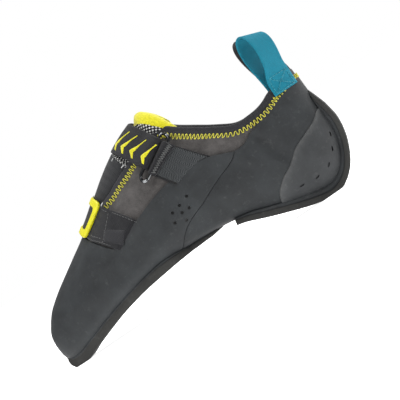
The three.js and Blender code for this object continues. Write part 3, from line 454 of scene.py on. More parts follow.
@dataclass
class Piece:
    """One finished mesh: its points, faces, and what the frame has to know about it."""

    name: str
    points: np.ndarray
    faces: list
    finish: "Finish"
    slot: str
    replaces: tuple[str, ...] = ()
    uv: np.ndarray | None = None
    extra_finishes: tuple = ()
    face_finish: np.ndarray | None = None
    # Per point, lightens the rubber's colour: on the heel cup a band along the edge, partly scuffing and
    # partly a painted highlight of the raised edge
    wear_and_highlight: np.ndarray | None = None

    def make(self) -> bpy.types.Object:
        """Puts the mesh in the scene with outward faces, lets it ride on the frame and logs it.

        Returns:
            The new object.
        """
        mesh = bpy.data.meshes.new(self.name)
        faces = [tuple(int(v) for v in f) for f in self.faces]
        mesh.from_pydata((self.points * METRES).tolist(), [], faces)
        if self.uv is not None:
            layer = mesh.uv_layers.new(name="weave")
            loops = np.empty(len(mesh.loops), dtype=np.int32)
            mesh.loops.foreach_get("vertex_index", loops)
            layer.data.foreach_set("uv", (self.uv[loops]).astype(np.float32).ravel())
        if self.face_finish is not None:
            mesh.polygons.foreach_set("material_index", self.face_finish.astype(np.int32))
        if self.wear_and_highlight is not None:
            wear_and_highlight_attr = mesh.attributes.new("wear_and_highlight", "FLOAT", "POINT")
            wear_and_highlight_attr.data.foreach_set("value", self.wear_and_highlight.astype(np.float32))
        mesh.polygons.foreach_set("use_smooth", np.full(len(mesh.polygons), True))
        mesh.materials.append(self.finish.material())
        for finish in self.extra_finishes:
            mesh.materials.append(finish.material())
        if signed_volume(self.points, faces) < 0:
            mesh.flip_normals()
        mesh.update()
        made = bpy.data.objects.new(self.name, mesh)
        bpy.context.scene.collection.objects.link(made)
        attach(made, "root")
        if self.replaces:
            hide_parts(*self.replaces)
        LOG.info("%s: %d points, %d faces", self.name, len(mesh.vertices), len(mesh.polygons))
        return made


def signed_volume(points: np.ndarray, faces: list) -> float:
    """Volume inside a closed mesh, negative where its faces point in: a sum of tetrahedra to the origin."""
    triangles = [(f[0], f[k], f[k + 1]) for f in faces for k in range(1, len(f) - 1)]
    a, b, c = (points[np.array(triangles)[:, k]] for k in range(3))
    return float(np.einsum("ij,ij->i", a, np.cross(b, c)).sum())


@dataclass
class MeshParts:
    """Gathers points and faces of several closed bodies into one mesh."""

    points: list = field(default_factory=list)
    faces: list = field(default_factory=list)
    uvs: list = field(default_factory=list)
    count: int = 0

    def add(self, points: np.ndarray, faces: list, uv: np.ndarray | None = None) -> None:
        """Adds one closed body, turned so that its faces point out."""
        if signed_volume(points, faces) < 0:
            faces = [tuple(reversed(f)) for f in faces]
        self.points.append(points)
        self.faces.extend(tuple(int(v) + self.count for v in f) for f in faces)
        self.uvs.append(np.zeros((len(points), 2)) if uv is None else uv)
        self.count += len(points)

    def piece(self, name: str, finish: "Finish", slot: str, **more) -> Piece:
        """The gathered mesh as a piece."""
        return Piece(name, np.vstack(self.points), self.faces, finish, slot, uv=np.vstack(self.uvs), **more)


def slab(top: np.ndarray, bottom: np.ndarray, uv: np.ndarray | None = None) -> tuple:
    """A closed sheet between two grids of equal size, with walls along its four edges.

    Args:
        top: rows by columns of points.
        bottom: the same for the other face.
        uv: rows by columns of places in the weave, shared by both faces.

    Returns:
        Points, faces and weave places.
    """
    rows, columns = top.shape[:2]
    size = rows * columns
    faces = [*grid_faces(rows, columns), *grid_faces(rows, columns, size)[:, ::-1]]
    index = np.arange(size).reshape(rows, columns)
    edge = np.concatenate([index[0, :], index[1:, -1], index[-1, -2::-1], index[-2:0:-1, 0]])
    after = np.roll(edge, -1)
    faces += list(np.stack([after, edge, edge + size, after + size], axis=1))
    places = np.zeros((rows, columns, 2)) if uv is None else uv
    points = np.vstack([top.reshape(-1, 3), bottom.reshape(-1, 3)])
    return points, faces, np.tile(places.reshape(-1, 2), (2, 1))


def tube(path: np.ndarray, normals: np.ndarray, radius: float, sides: int, closed: bool = False) -> tuple:
    """A round wire or thread: a circle carried along a path, square to it.

    Args:
        path: points of its middle line.
        normals: a direction at each point that the circle's frame keeps to.
        radius: half its thickness.
        sides: corners of the circle.
        closed: whether it runs back into its start.

    Returns:
        Points and faces.
    """
    if closed:
        along = np.roll(path, -1, axis=0) - np.roll(path, 1, axis=0)
    else:
        along = np.gradient(path, axis=0)
    along /= np.maximum(np.linalg.norm(along, axis=1, keepdims=True), 1e-9)
    side = np.cross(along, normals)
    side /= np.maximum(np.linalg.norm(side, axis=1, keepdims=True), 1e-9)
    up = np.cross(side, along)
    turn = np.linspace(0, 2 * math.pi, sides, endpoint=False)
    ring = up[:, None, :] * np.cos(turn)[None, :, None] + side[:, None, :] * np.sin(turn)[None, :, None]
    points = (path[:, None, :] + radius * ring).reshape(-1, 3)
    faces = [tuple(f) for f in grid_faces(len(path), sides, wrap=True)]
    if closed:
        faces += last_to_first(len(path), sides)
    else:
        faces.append(tuple(range(sides))[::-1])
        faces.append(tuple((len(path) - 1) * sides + k for k in range(sides)))
    return points, faces


def panel(edge: np.ndarray, centre: np.ndarray, lift: float, under: float, rings: int, roll: float) -> tuple:
    """A shell on the form with one free edge: rays run from a centre to the edge, which is rolled over.

    Each ray is a straight line in station and girth. The roll lowers the outer face by a quarter circle.

    Args:
        edge: stations and girths round the free edge, a closed loop.
        centre: the station and girth each ray starts from, one row for each point of the edge.
        lift: height of the outer face over the form.
        under: height of the inner face.
        rings: how many rings between centre and edge.
        roll: radius of the rolled edge.

    Returns:
        Points, faces and how many faces the outer side has.
    """
    near = FORM.at(*(centre + (edge - centre) * 0.97).T, lift)
    reach = np.linalg.norm(FORM.at(*edge.T, lift) - near, axis=1) / 0.03
    away = roll * np.array([1.6, 1.0, 0.75, 0.5, 0.28, 0.12, 0.0])
    even = np.linspace(0, 1, rings, endpoint=False)[1:]
    shares = [np.full(len(edge), s) * (1 - away[0] / np.maximum(reach, 4 * roll)) for s in even]
    shares += [1 - a / np.maximum(reach, 4 * roll) for a in away]
    lifts = [lift] * len(even)
    lifts += [lift - 0.85 * roll * (1 - math.sqrt(1 - (1 - min(1.0, a / roll)) ** 2)) for a in away]
    ease = [s if centre[:, 0].max() > 1 else s**0.8 for s in shares]
    outer, inner = [], []
    for share, turn, height in zip(shares, ease, lifts):
        station = centre[:, 0] + (edge[:, 0] - centre[:, 0]) * share
        girth = centre[:, 1] + (edge[:, 1] - centre[:, 1]) * turn
        outer.append(FORM.at(station, girth, np.full(len(edge), height)))
        inner.append(FORM.at(station, girth, np.full(len(edge), under)))
    count = len(edge)
    outer, inner = np.array(outer), np.array(inner)
    rows = len(outer)
    size = rows * count
    poles = np.array([outer[0].mean(axis=0), inner[0].mean(axis=0)])
    points = np.vstack([outer.reshape(-1, 3), inner.reshape(-1, 3), poles])
    k = np.arange(count)
    after = (k + 1) % count
    faces = [tuple(f) for f in grid_faces(rows, count, wrap=True)]
    faces += [(2 * size, int(b), int(a)) for a, b in zip(k, after)]
    outside = len(faces)
    faces += [tuple(f) for f in grid_faces(rows, count, size, wrap=True)[:, ::-1]]
    faces += [(2 * size + 1, int(size + a), int(size + b)) for a, b in zip(k, after)]
    end = (rows - 1) * count
    faces += [(int(end + a), int(end + b), int(size + end + b), int(size + end + a))
              for a, b in zip(k, after)]
    return points, faces, outside


def both_sides(outer: list, inner: list, counts: list[int]) -> np.ndarray:
    """A closed loop of stations and girths, down the outer side and back up the inner side.

    Args:
        outer: outlines of the outer side in order, each a table.
        inner: the same for the inner side, in the same order.
        counts: points on each outline.

    Returns:
        The loop, with no point twice.
    """
    rows = [even_on_form(outline(t, Side.OUTER), n)[:-1] for t, n in zip(outer, counts)]
    last = even_on_form(outline(outer[-1], Side.OUTER), counts[-1])[-1:]
    back = [even_on_form(outline(t, Side.INNER), n)[::-1][1:] for t, n in zip(inner, counts)]
    loop = np.vstack([*rows, last, *back[::-1]])
    return loop[:-1] if outer[0][0][1] >= 1.0 else loop


class Node:
    """Adds shader nodes to one material."""

    def __init__(self, name: str) -> None:
        """Makes an empty material under a name and finds its surface node."""
        self.made = bpy.data.materials.new(name)
        self.made.use_nodes = True
        self.tree = self.made.node_tree
        self.shader = self.tree.nodes["Principled BSDF"]

    def add(self, kind: str, settings: dict | None = None, links: dict | None = None) -> bpy.types.Node:
        """Adds a node, gives its properties and sockets their values, and joins its inputs.

        Args:
            kind: the node's type, without the ShaderNode prefix.
            settings: property or input values by name or input index, and a ramp's stops as pairs of
                place and colour.
            links: sockets that feed its inputs, by input name or index.

        Returns:
            The node.
        """
        node = self.tree.nodes.new("ShaderNode" + kind)
        for name, value in (settings or {}).items():
            if name == "stops":
                for element, (place, colour) in zip(node.color_ramp.elements, value):
                    element.position, element.color = place, linear(colour)
            elif isinstance(name, str) and hasattr(node, name):
                setattr(node, name, value)
            else:
                node.inputs[name].default_value = value
        for name, socket in (links or {}).items():
            self.tree.links.new(socket, node.inputs[name])
        return node

    def feed(self, name: str, socket: bpy.types.NodeSocket) -> None:
        """Joins a socket to an input of the shader."""
        self.tree.links.new(socket, self.shader.inputs[name])

    def set(self, **values: float) -> None:
        """Sets constant inputs of the shader, by their names with underscores for spaces."""
        for name, value in values.items():
            self.shader.inputs[name.replace("_", " ")].default_value = value


@dataclass(frozen=True)
class Finish:
    """A material's name and colours; each kind of finish builds its own nodes once."""

    name: str
    colour: str
    second: str = "000000"

    def material(self) -> bpy.types.Material:
        """The material, made the first time that it is asked for."""
        found = bpy.data.materials.get(self.name)
        return found if found else self.build(Node(self.name))

    def build(self, node: Node) -> bpy.types.Material:
        """Adds the nodes of the finish."""
        node.shader.inputs["Base Color"].default_value = linear(self.colour)
        node.set(Roughness=0.6)
        return node.made


@dataclass(frozen=True)
class SheetRubber(Finish):
    """Calendered sheet rubber, ground and cemented: a matt skin with faint cloudy dust and fine grain."""

    grain: float = 0.35
    roughness: float = 0.6

    def build(self, node: Node) -> bpy.types.Material:
        """Clouds of about 18 mm tint the colour and vary the roughness, 0.35 mm grain gives bump, and dust
        specks lighten the colour. The per-point attribute lightens it as well: on the heel cup that band is
        partly scuffing and partly a painted highlight along the cup's raised edge.
        """
        place = node.add("TexCoord").outputs["Object"]
        cloud = node.add("TexNoise", {"Scale": 55.0, "Detail": 4.0, "Roughness": 0.62}, {"Vector": place})
        fine = node.add("TexNoise", {"Scale": 1000 / self.grain / 4, "Detail": 2.0}, {"Vector": place})
        scuff = node.add("TexNoise", {"Scale": 260.0, "Detail": 6.0, "Roughness": 0.7}, {"Vector": place})
        stops = ((0.32, self.colour), (0.7, self.second))
        ramp = node.add("ValToRGB", {"stops": stops}, {"Fac": cloud.outputs["Fac"]})
        stops = ((0.56, "000000"), (0.78, "ffffff"))
        speck = node.add("ValToRGB", {"stops": stops}, {"Fac": scuff.outputs["Fac"]})
        mix = node.add("MixRGB", {"Color2": linear("6c6d6c")}, {"Color1": ramp.outputs["Color"]})
        # The per-point attribute, times the scuff noise, lightens the colour towards 6c6d6c: scuffing, and
        # on the heel cup also a painted highlight along its raised edge
        wear_and_highlight_attr = node.add("Attribute", {"attribute_name": "wear_and_highlight"}).outputs["Fac"]
        scuff_and_highlight = node.add("Math", {"operation": "MULTIPLY"}, {0: wear_and_highlight_attr, 1: scuff.outputs["Fac"]})
        dust = node.add("Math", {"operation": "MULTIPLY", 1: 0.16}, {0: speck.outputs["Color"]})
        both = node.add("Math", {"operation": "ADD"}, {0: dust.outputs["Value"], 1: scuff_and_highlight.outputs["Value"]})
        node.tree.links.new(both.outputs["Value"], mix.inputs["Fac"])
        node.feed("Base Color", mix.outputs["Color"])
        rough = node.add("MapRange", {"To Min": self.roughness - 0.08, "To Max": self.roughness + 0.12},
                         {"Value": cloud.outputs["Fac"]})
        node.feed("Roughness", rough.outputs["Result"])
        bump = node.add("Bump", {"Strength": 0.25, "Distance": 0.0002}, {"Height": fine.outputs["Fac"]})
        wave = node.add("Bump", {"Strength": 0.3, "Distance": 0.0008},
                        {"Height": cloud.outputs["Fac"], "Normal": bump.outputs["Normal"]})
        node.feed("Normal", wave.outputs["Normal"])
        node.set(Specular_IOR_Level=0.32)
        return node.made


@dataclass(frozen=True)
class Microsuede(Finish):
    """Split-fibre suede, brushed: a soft nap with darker and lighter strokes and no gloss."""

    def build(self, node: Node) -> bpy.types.Material:
        """Strokes of about 6 mm and nap of 0.4 mm tint the colour, and a sheen lights its edges."""
        place = node.add("TexCoord").outputs["Object"]
        stroke = node.add("TexNoise", {"Scale": 120.0, "Detail": 5.0, "Roughness": 0.65}, {"Vector": place})
        nap = node.add("TexNoise", {"Scale": 1400.0, "Detail": 2.0}, {"Vector": place})
        blend = node.add("Math", {"operation": "MULTIPLY_ADD", 1: 0.45},
                         {0: nap.outputs["Fac"], 2: stroke.outputs["Fac"]})
        stops = ((0.5, self.colour), (0.95, self.second))
        ramp = node.add("ValToRGB", {"stops": stops}, {"Fac": blend.outputs["Value"]})
        node.feed("Base Color", ramp.outputs["Color"])
        bump = node.add("Bump", {"Strength": 0.5, "Distance": 0.0003}, {"Height": nap.outputs["Fac"]})
        node.feed("Normal", bump.outputs["Normal"])
        node.set(Roughness=0.95, Sheen_Weight=0.25, Sheen_Roughness=0.5, Specular_IOR_Level=0.2)
        return node.made


@dataclass(frozen=True)
class Weave(Finish):
    """Woven tape or webbing: rows of ribs across it, with threads of two shades."""

    pitch: float = 1.0
    depth: float = 0.25
    sheen: float = 0.1
    selvedge: float = 0.0
    band_width: float = 30.0

    def build(self, node: Node) -> bpy.types.Material:
        """Two sets of slanted waves on the weave's own millimetres make a herringbone of the pitch."""
        place = node.add("UVMap", {"uv_map": "weave"}).outputs["UV"]
        split = node.add("SeparateXYZ", links={"Vector": place})
        fold = node.add("Math", {"operation": "PINGPONG", 1: 2 * self.pitch}, {0: split.outputs["Y"]})
        slant = node.add("Math", {"operation": "ADD"}, {0: split.outputs["X"], 1: fold.outputs["Value"]})
        scaled = node.add("Math", {"operation": "MULTIPLY", 1: 2 * math.pi / self.pitch},
                          {0: slant.outputs["Value"]})
        rib = node.add("Math", {"operation": "SINE"}, {0: scaled.outputs["Value"]})
        level = node.add("MapRange", {"From Min": -1.0, "From Max": 1.0}, {"Value": rib.outputs["Value"]})
        fuzz = node.add("TexNoise", {"Scale": 900.0, "Detail": 3.0},
                        {"Vector": node.add("TexCoord").outputs["Object"]})
        both = node.add("Math", {"operation": "MULTIPLY_ADD", 1: 0.5},
                        {0: fuzz.outputs["Fac"], 2: level.outputs["Result"]})
        stops = ((0.25, self.colour), (1.0, self.second))
        ramp = node.add("ValToRGB", {"stops": stops}, {"Fac": both.outputs["Value"]})
        low = node.add("Math", {"operation": "LESS_THAN", 1: self.selvedge}, {0: split.outputs["Y"]})
        high = node.add("Math", {"operation": "GREATER_THAN", 1: self.band_width - self.selvedge},
                        {0: split.outputs["Y"]})
        rim = node.add("Math", {"operation": "ADD", "use_clamp": True},
                       {0: low.outputs["Value"], 1: high.outputs["Value"]})
        rim = node.add("Math", {"operation": "MULTIPLY", 1: float(self.selvedge > 0)},
                       {0: rim.outputs["Value"]})
        dark = node.add("MixRGB", {"Color2": linear("101012")}, {"Color1": ramp.outputs["Color"],
                                                                  "Fac": rim.outputs["Value"]})
        node.feed("Base Color", dark.outputs["Color"])
        bump = node.add("Bump", {"Strength": 0.7, "Distance": self.depth * METRES},
                        {"Height": both.outputs["Value"]})
        node.feed("Normal", bump.outputs["Normal"])
        node.set(Roughness=0.82, Sheen_Weight=self.sheen, Specular_IOR_Level=0.3)
        return node.made


@dataclass(frozen=True)
class AirMesh(Finish):
    """Warp-knit spacer mesh: pale yarn over a dark ground with rows of small open cells."""

    pitch: float = 1.35

    def build(self, node: Node) -> bpy.types.Material:
        """A checker of round cells on the weave's millimetres, offset row by row."""
        place = node.add("UVMap", {"uv_map": "weave"}).outputs["UV"]
        split = node.add("SeparateXYZ", links={"Vector": place})
        waves = []
        for axis in ("X", "Y"):
            scaled = node.add("Math", {"operation": "MULTIPLY", 1: math.pi / self.pitch},
                              {0: split.outputs[axis]})
            waves.append(node.add("Math", {"operation": "SINE"}, {0: scaled.outputs["Value"]}))
        cell = node.add("Math", {"operation": "MULTIPLY"}, {0: waves[0].outputs["Value"],
                                                            1: waves[1].outputs["Value"]})
        stops = ((0.12, self.second), (0.42, self.colour))
        ramp = node.add("ValToRGB", {"stops": stops}, {"Fac": cell.outputs["Value"]})
        node.feed("Base Color", ramp.outputs["Color"])
        bump = node.add("Bump", {"Strength": 0.8, "Distance": 0.0004}, {"Height": cell.outputs["Value"]})
        node.feed("Normal", bump.outputs["Normal"])
        node.set(Roughness=0.85, Specular_IOR_Level=0.3)
        return node.made


@dataclass(frozen=True)
class Brushed(Finish):
    """Brushed knit lining or thread: soft short fibres, a little lighter on their tips."""

    def build(self, node: Node) -> bpy.types.Material:
        """Fibre noise of about 0.8 mm mixes the two shades and gives bump."""
        place = node.add("TexCoord").outputs["Object"]
        fibre = node.add("TexNoise", {"Scale": 900.0, "Detail": 4.0, "Roughness": 0.7}, {"Vector": place})
        stops = ((0.35, self.second), (0.68, self.colour))
        ramp = node.add("ValToRGB", {"stops": stops}, {"Fac": fibre.outputs["Fac"]})
        node.feed("Base Color", ramp.outputs["Color"])
        bump = node.add("Bump", {"Strength": 0.5, "Distance": 0.0003}, {"Height": fibre.outputs["Fac"]})
        node.feed("Normal", bump.outputs["Normal"])
        node.set(Roughness=0.9, Sheen_Weight=0.3, Specular_IOR_Level=0.25)
        return node.made


@dataclass(frozen=True)
class Moulded(Finish):
    """Injection-moulded flexible rubber: even colour, satin, with a fine spark-eroded skin."""

    def build(self, node: Node) -> bpy.types.Material:
        """Grain of 0.3 mm gives bump and a faint change of roughness."""
        place = node.add("TexCoord").outputs["Object"]
        grain = node.add("TexNoise", {"Scale": 1500.0, "Detail": 2.0}, {"Vector": place})
        soil = node.add("TexNoise", {"Scale": 180.0, "Detail": 4.0}, {"Vector": place})
        mix = node.add("MixRGB", {"Color1": linear(self.colour), "Color2": linear(self.second)},
                       {"Fac": node.add("MapRange", {"From Min": 0.4, "From Max": 0.85, "To Max": 0.5},
                                        {"Value": soil.outputs["Fac"]}).outputs["Result"]})
        node.feed("Base Color", mix.outputs["Color"])
        rough = node.add("MapRange", {"To Min": 0.36, "To Max": 0.55}, {"Value": grain.outputs["Fac"]})
        node.feed("Roughness", rough.outputs["Result"])
        bump = node.add("Bump", {"Strength": 0.2, "Distance": 0.0001}, {"Height": grain.outputs["Fac"]})
        node.feed("Normal", bump.outputs["Normal"])
        return node.made


@dataclass(frozen=True)
class CoatedWire(Finish):
    """Drawn steel wire, bent, welded and black coated: smooth, with bright rubs where it is worn."""

    def build(self, node: Node) -> bpy.types.Material:
        """Rubs of about 3 mm brighten the coat; its roughness is the same all over."""
        place = node.add("TexCoord").outputs["Object"]
        rub = node.add("TexNoise", {"Scale": 300.0, "Detail": 3.0}, {"Vector": place})
        stops = ((0.5, self.colour), (0.72, self.second))
        ramp = node.add("ValToRGB", {"stops": stops}, {"Fac": rub.outputs["Fac"]})
        node.feed("Base Color", ramp.outputs["Color"])
        node.set(Roughness=0.24, Metallic=0.9)
        return node.made


@dataclass(frozen=True)
class LightTable(Finish):
    """Opal acrylic sheet, lit from below: white, matt, and hardly darkened by what stands on it."""

    glow: float = 0.86

    def build(self, node: Node) -> bpy.types.Material:
        """An even glow under a faint 40 mm mottle of the sheet's own white."""
        place = node.add("TexCoord").outputs["Object"]
        mottle = node.add("TexNoise", {"Scale": 25.0, "Detail": 2.0}, {"Vector": place})
        stops = ((0.0, self.second), (1.0, self.colour))
        ramp = node.add("ValToRGB", {"stops": stops}, {"Fac": mottle.outputs["Fac"]})
        node.feed("Base Color", ramp.outputs["Color"])
        node.set(Roughness=0.8, Emission_Strength=self.glow, Specular_IOR_Level=0.1)
        node.shader.inputs["Emission Color"].default_value = (1.0, 1.0, 1.0, 1.0)
        return node.made


FLOOR = LightTable("opal_acrylic_light_table", "fcfcfc", "f6f6f6")
RAND_SHEET = SheetRubber("calendered_rand_rubber", "202224", "2d3032")
SOLE_SHEET = SheetRubber("ground_sole_rubber", "242423", "30302e", roughness=0.7)
SLING_SHEET = SheetRubber("tensioned_sling_rubber", "1b1d1f", "2a2d2f", roughness=0.62)
CUP_SHEET = SheetRubber("moulded_heel_cup_rubber", "1e2022", "2e3032", roughness=0.55)
SUEDE = Microsuede("brushed_microsuede", "3a3837", "545150")
LINING = Brushed("brushed_lining_knit", "2c2c2e", "1c1c1e")
BOARD = Brushed("pressed_insole_board", "303032", "202022")
TAPE = Weave("woven_binding_tape", "121214", "2a2a2e", pitch=1.1)
BLACK_WEBBING = Weave("woven_black_webbing", "08080a", "1c1c20", pitch=1.2)
GREY_WEBBING = Weave("herringbone_grey_webbing", "090a0b", "404345", pitch=1.5, depth=0.3, selvedge=1.5)
ELASTIC_KNIT = Weave("ribbed_elastic", "141517", "222326", pitch=0.9)
LOOP_WEAVE = Weave("woven_turquoise_tape", "024e63", "0b7d92", pitch=0.9, depth=0.15, sheen=0.0)
LOOP_THREAD = Brushed("turquoise_thread", "2b97a6", "0f5e6e")
MESH_KNIT = AirMesh("knitted_air_mesh", "c9c9c6", "1e1e20")
YELLOW_KNIT = Brushed("brushed_yellow_lining", "d9d21e", "b3ac10")
YELLOW_THREAD = Brushed("yellow_thread", "d8d14c", "a19b2a")
GREY_THREAD = Brushed("grey_thread", "5e5f5e", "303132")
YELLOW_WEAVE = Brushed("woven_yellow_mark", "dcd51c", "b5ae10")
YELLOW_MOULD = Moulded("moulded_yellow_rubber", "d6cf10", "aca60e")
BLACK_MOULD = Moulded("moulded_black_rubber", "141416", "222224")
# Near-black walls and floors of the vents and slots: painted shade of the holes' depth
HOLE_SHADE = Moulded("painted_shade_hole_rubber", "060607", "0b0b0c")
PALE_THREAD = Brushed("pale_bar_tack", "c8c9c8", "8d8e8e")
WIRE = CoatedWire("black_coated_wire", "1b1c1e", "b4b6b8")


@dataclass
class Upper:
    """The cloth sock: one hollow shell with its lining, open at the collar and the throat."""

    rim_points: tuple[int, int] = (90, 110)
    rings: int = 110

    def rim(self) -> np.ndarray:
        """The loop of the opening, from the front of the throat round the heel and back."""
        return both_sides([OUTER_THROAT, COLLAR_RIM], [INNER_THROAT, COLLAR_RIM], list(self.rim_points))

    def build(self) -> None:
        """Makes the shell with suede outside and lining inside."""
        rim = self.rim()
        centre = np.stack([np.full(len(rim), 0.02), np.linspace(-1, 1, len(rim), endpoint=False)], axis=1)
        points, faces, outside = panel(rim, centre, 0.0, -UPPER_WALL, self.rings, 0.5)
        finish = np.ones(len(faces), dtype=int)
        finish[:outside] = 0
        Piece("upper_sock", points, faces, SUEDE, "microsuede", ("upper",), extra_finishes=(LINING,),
              face_finish=finish).make()


def cut_holes(piece: bpy.types.Object, cutters: MeshParts, name: str) -> None:
    """Cuts closed bodies out of a piece, whose walls and floors take the cutters' near-black finish: painted
    shade that makes the holes look deep.

    Args:
        piece: the piece that is cut.
        cutters: the bodies to take away.
        name: a name for the cutting mesh while it is used.
    """
    tool = Piece(name, np.vstack(cutters.points), cutters.faces, HOLE_SHADE, "rand_rubber").make()
    cut = piece.modifiers.new("cut", "BOOLEAN")
    cut.operation, cut.solver, cut.object, cut.material_mode = "DIFFERENCE", "EXACT", tool, "TRANSFER"
    bpy.context.view_layer.update()
    made = bpy.data.meshes.new_from_object(piece.evaluated_get(bpy.context.evaluated_depsgraph_get()))
    piece.modifiers.clear()
    piece.data = made
    made.set_sharp_from_angle(angle=math.radians(40))
    bpy.data.objects.remove(tool)
    LOG.info("%s: %d faces after its holes", piece.name, len(made.polygons))


@dataclass
class Rubber:
    """The rubber layers on the upper: front rand, heel sling and heel cup, with their small vents."""

    lap: float = 0.05
    roll: float = 0.9
    vent: float = 2.2
    slot_length: float = 3.6
    slot_width: float = 1.5
    vent_floor: float = 0.6
    vent_top: float = 4.0
    slot_floor: float = 1.7
    slot_top: float = 5.0
    # Even scuffing over the heel cup, and the height of a lighter band on its edge that is partly scuffing
    # and partly a painted highlight of the raised edge
    wear_and_highlight: float = 0.03
    edge_scuff_and_highlight: float = 0.5
    vents: tuple = (
        (12.85, -0.4), (12.25, -0.385), (12.45, -0.34), (11.75, -0.382), (12.05, -0.345), (11.9, -0.3),
        (11.45, -0.335),
    )
    slots: tuple = ((21.25, -0.105), (20.3, -0.115), (19.2, -0.135), (18.15, -0.16), (17.25, -0.175))

    @staticmethod
    def hole(station: float, girth: float, length: float, width: float, low: float, high: float) -> tuple:
        """A round or oval plug square to the form, longer along the foot.

        Args:
            station: its middle along the foot.
            girth: its middle round the foot.
            length: its size along the foot.
            width: its size round the foot.
            low: lift of its bottom over the form.
            high: lift of its top.

        Returns:
            Points and faces.
        """
        spot = FORM.at(np.array([station, station + 0.05]), np.array([girth, girth]), 0.0)
        normal = FORM.normals(np.array([station]), np.array([girth]))[0]
        along = spot[1] - spot[0]
        along -= normal * (along @ normal)
        along /= np.linalg.norm(along)
        across = np.cross(normal, along)
        turn = np.linspace(0, 2 * math.pi, 20, endpoint=False)
        flat = (np.cos(turn)[:, None] * along * length + np.sin(turn)[:, None] * across * width) / 2
        rings = [spot[0] + flat + normal * lift for lift in (low, high)]
        count = len(turn)
        faces = [tuple(f) for f in grid_faces(2, count, wrap=True)]
        return np.vstack(rings), [*faces, tuple(range(count))[::-1], tuple(range(count, 2 * count))]

    def front_rand(self) -> None:
        """The rand from the toe to the side seams."""
        outlines = [RAND_FRONT, RAND_TOP, SIDE_SEAM]
        edge = both_sides(outlines, outlines, [50, 100, 90])
        centre = np.stack([np.full(len(edge), 0.02), np.linspace(-1, 1, len(edge), endpoint=False)], axis=1)
        points, faces, _ = panel(edge, centre, GAP + RAND, self.lap, 90, self.roll)
        made = Piece("toe_rand", points, faces, RAND_SHEET, "rand_rubber", ("front_rand",)).make()
        plugs = MeshParts()
        for station, girth in self.vents:
            for side in Side:
                plugs.add(*self.hole(station, -side.value * girth, self.vent, self.vent,
                                     self.vent_floor, self.vent_top))
        cut_holes(made, plugs, "vent_punch")

    def heel_sling(self) -> None:
        """The tensioned band from the side seams round the heel."""
        outlines = [SIDE_SEAM[::-1], SLING_TOP]
        edge = both_sides(outlines, outlines, [90, 100])
        centre = np.tile([18.0, 0.0], (len(edge), 1))
        points, faces, _ = panel(edge, centre, GAP + HEEL_RUBBER - 0.15, self.lap, 70, self.roll)
        Piece("rear_sling", points, faces, SLING_SHEET, "rand_rubber", ("heel_sling",)).make()

    def heel_cup(self) -> None:
        """The moulded cup over the sling at the bottom of the heel."""
        edge = both_sides([HEEL_CUP_EDGE[::-1]], [HEEL_CUP_EDGE[::-1]], [120])
        centre = np.tile([19.5, 0.0], (len(edge), 1))
        points, faces, _ = panel(edge[:-1], centre[:-1], GAP + HEEL_RUBBER + 0.6, 1.2, 50, 0.7)
        count = len(edge) - 1
        rings = (len(points) // 2) // count
        ring = np.repeat(np.arange(rings), count)
        # A lighter band on the rolled edge: partly scuffing, partly a painted highlight of the raised edge
        wear_and_highlight = np.tile(self.wear_and_highlight + self.edge_scuff_and_highlight * np.exp(-(((rings - 4 - ring) / 5.0) ** 2)), 2)
        wear_and_highlight = np.concatenate([wear_and_highlight, np.full(len(points) - len(wear_and_highlight), self.wear_and_highlight)])
        made = Piece("moulded_heel_cup", points, faces, CUP_SHEET, "rand_rubber", ("heel_cup",),
                     wear_and_highlight=wear_and_highlight).make()
        plugs = MeshParts()
        for station, girth in self.slots:
            for side in Side:
                plugs.add(*self.hole(station, -side.value * girth, self.slot_length, self.slot_width,
                                     self.slot_floor, self.slot_top))
        cut_holes(made, plugs, "slot_punch")

    def build(self) -> None:
        """Makes the three layers."""
        self.front_rand()
        self.heel_sling()
        self.heel_cup()


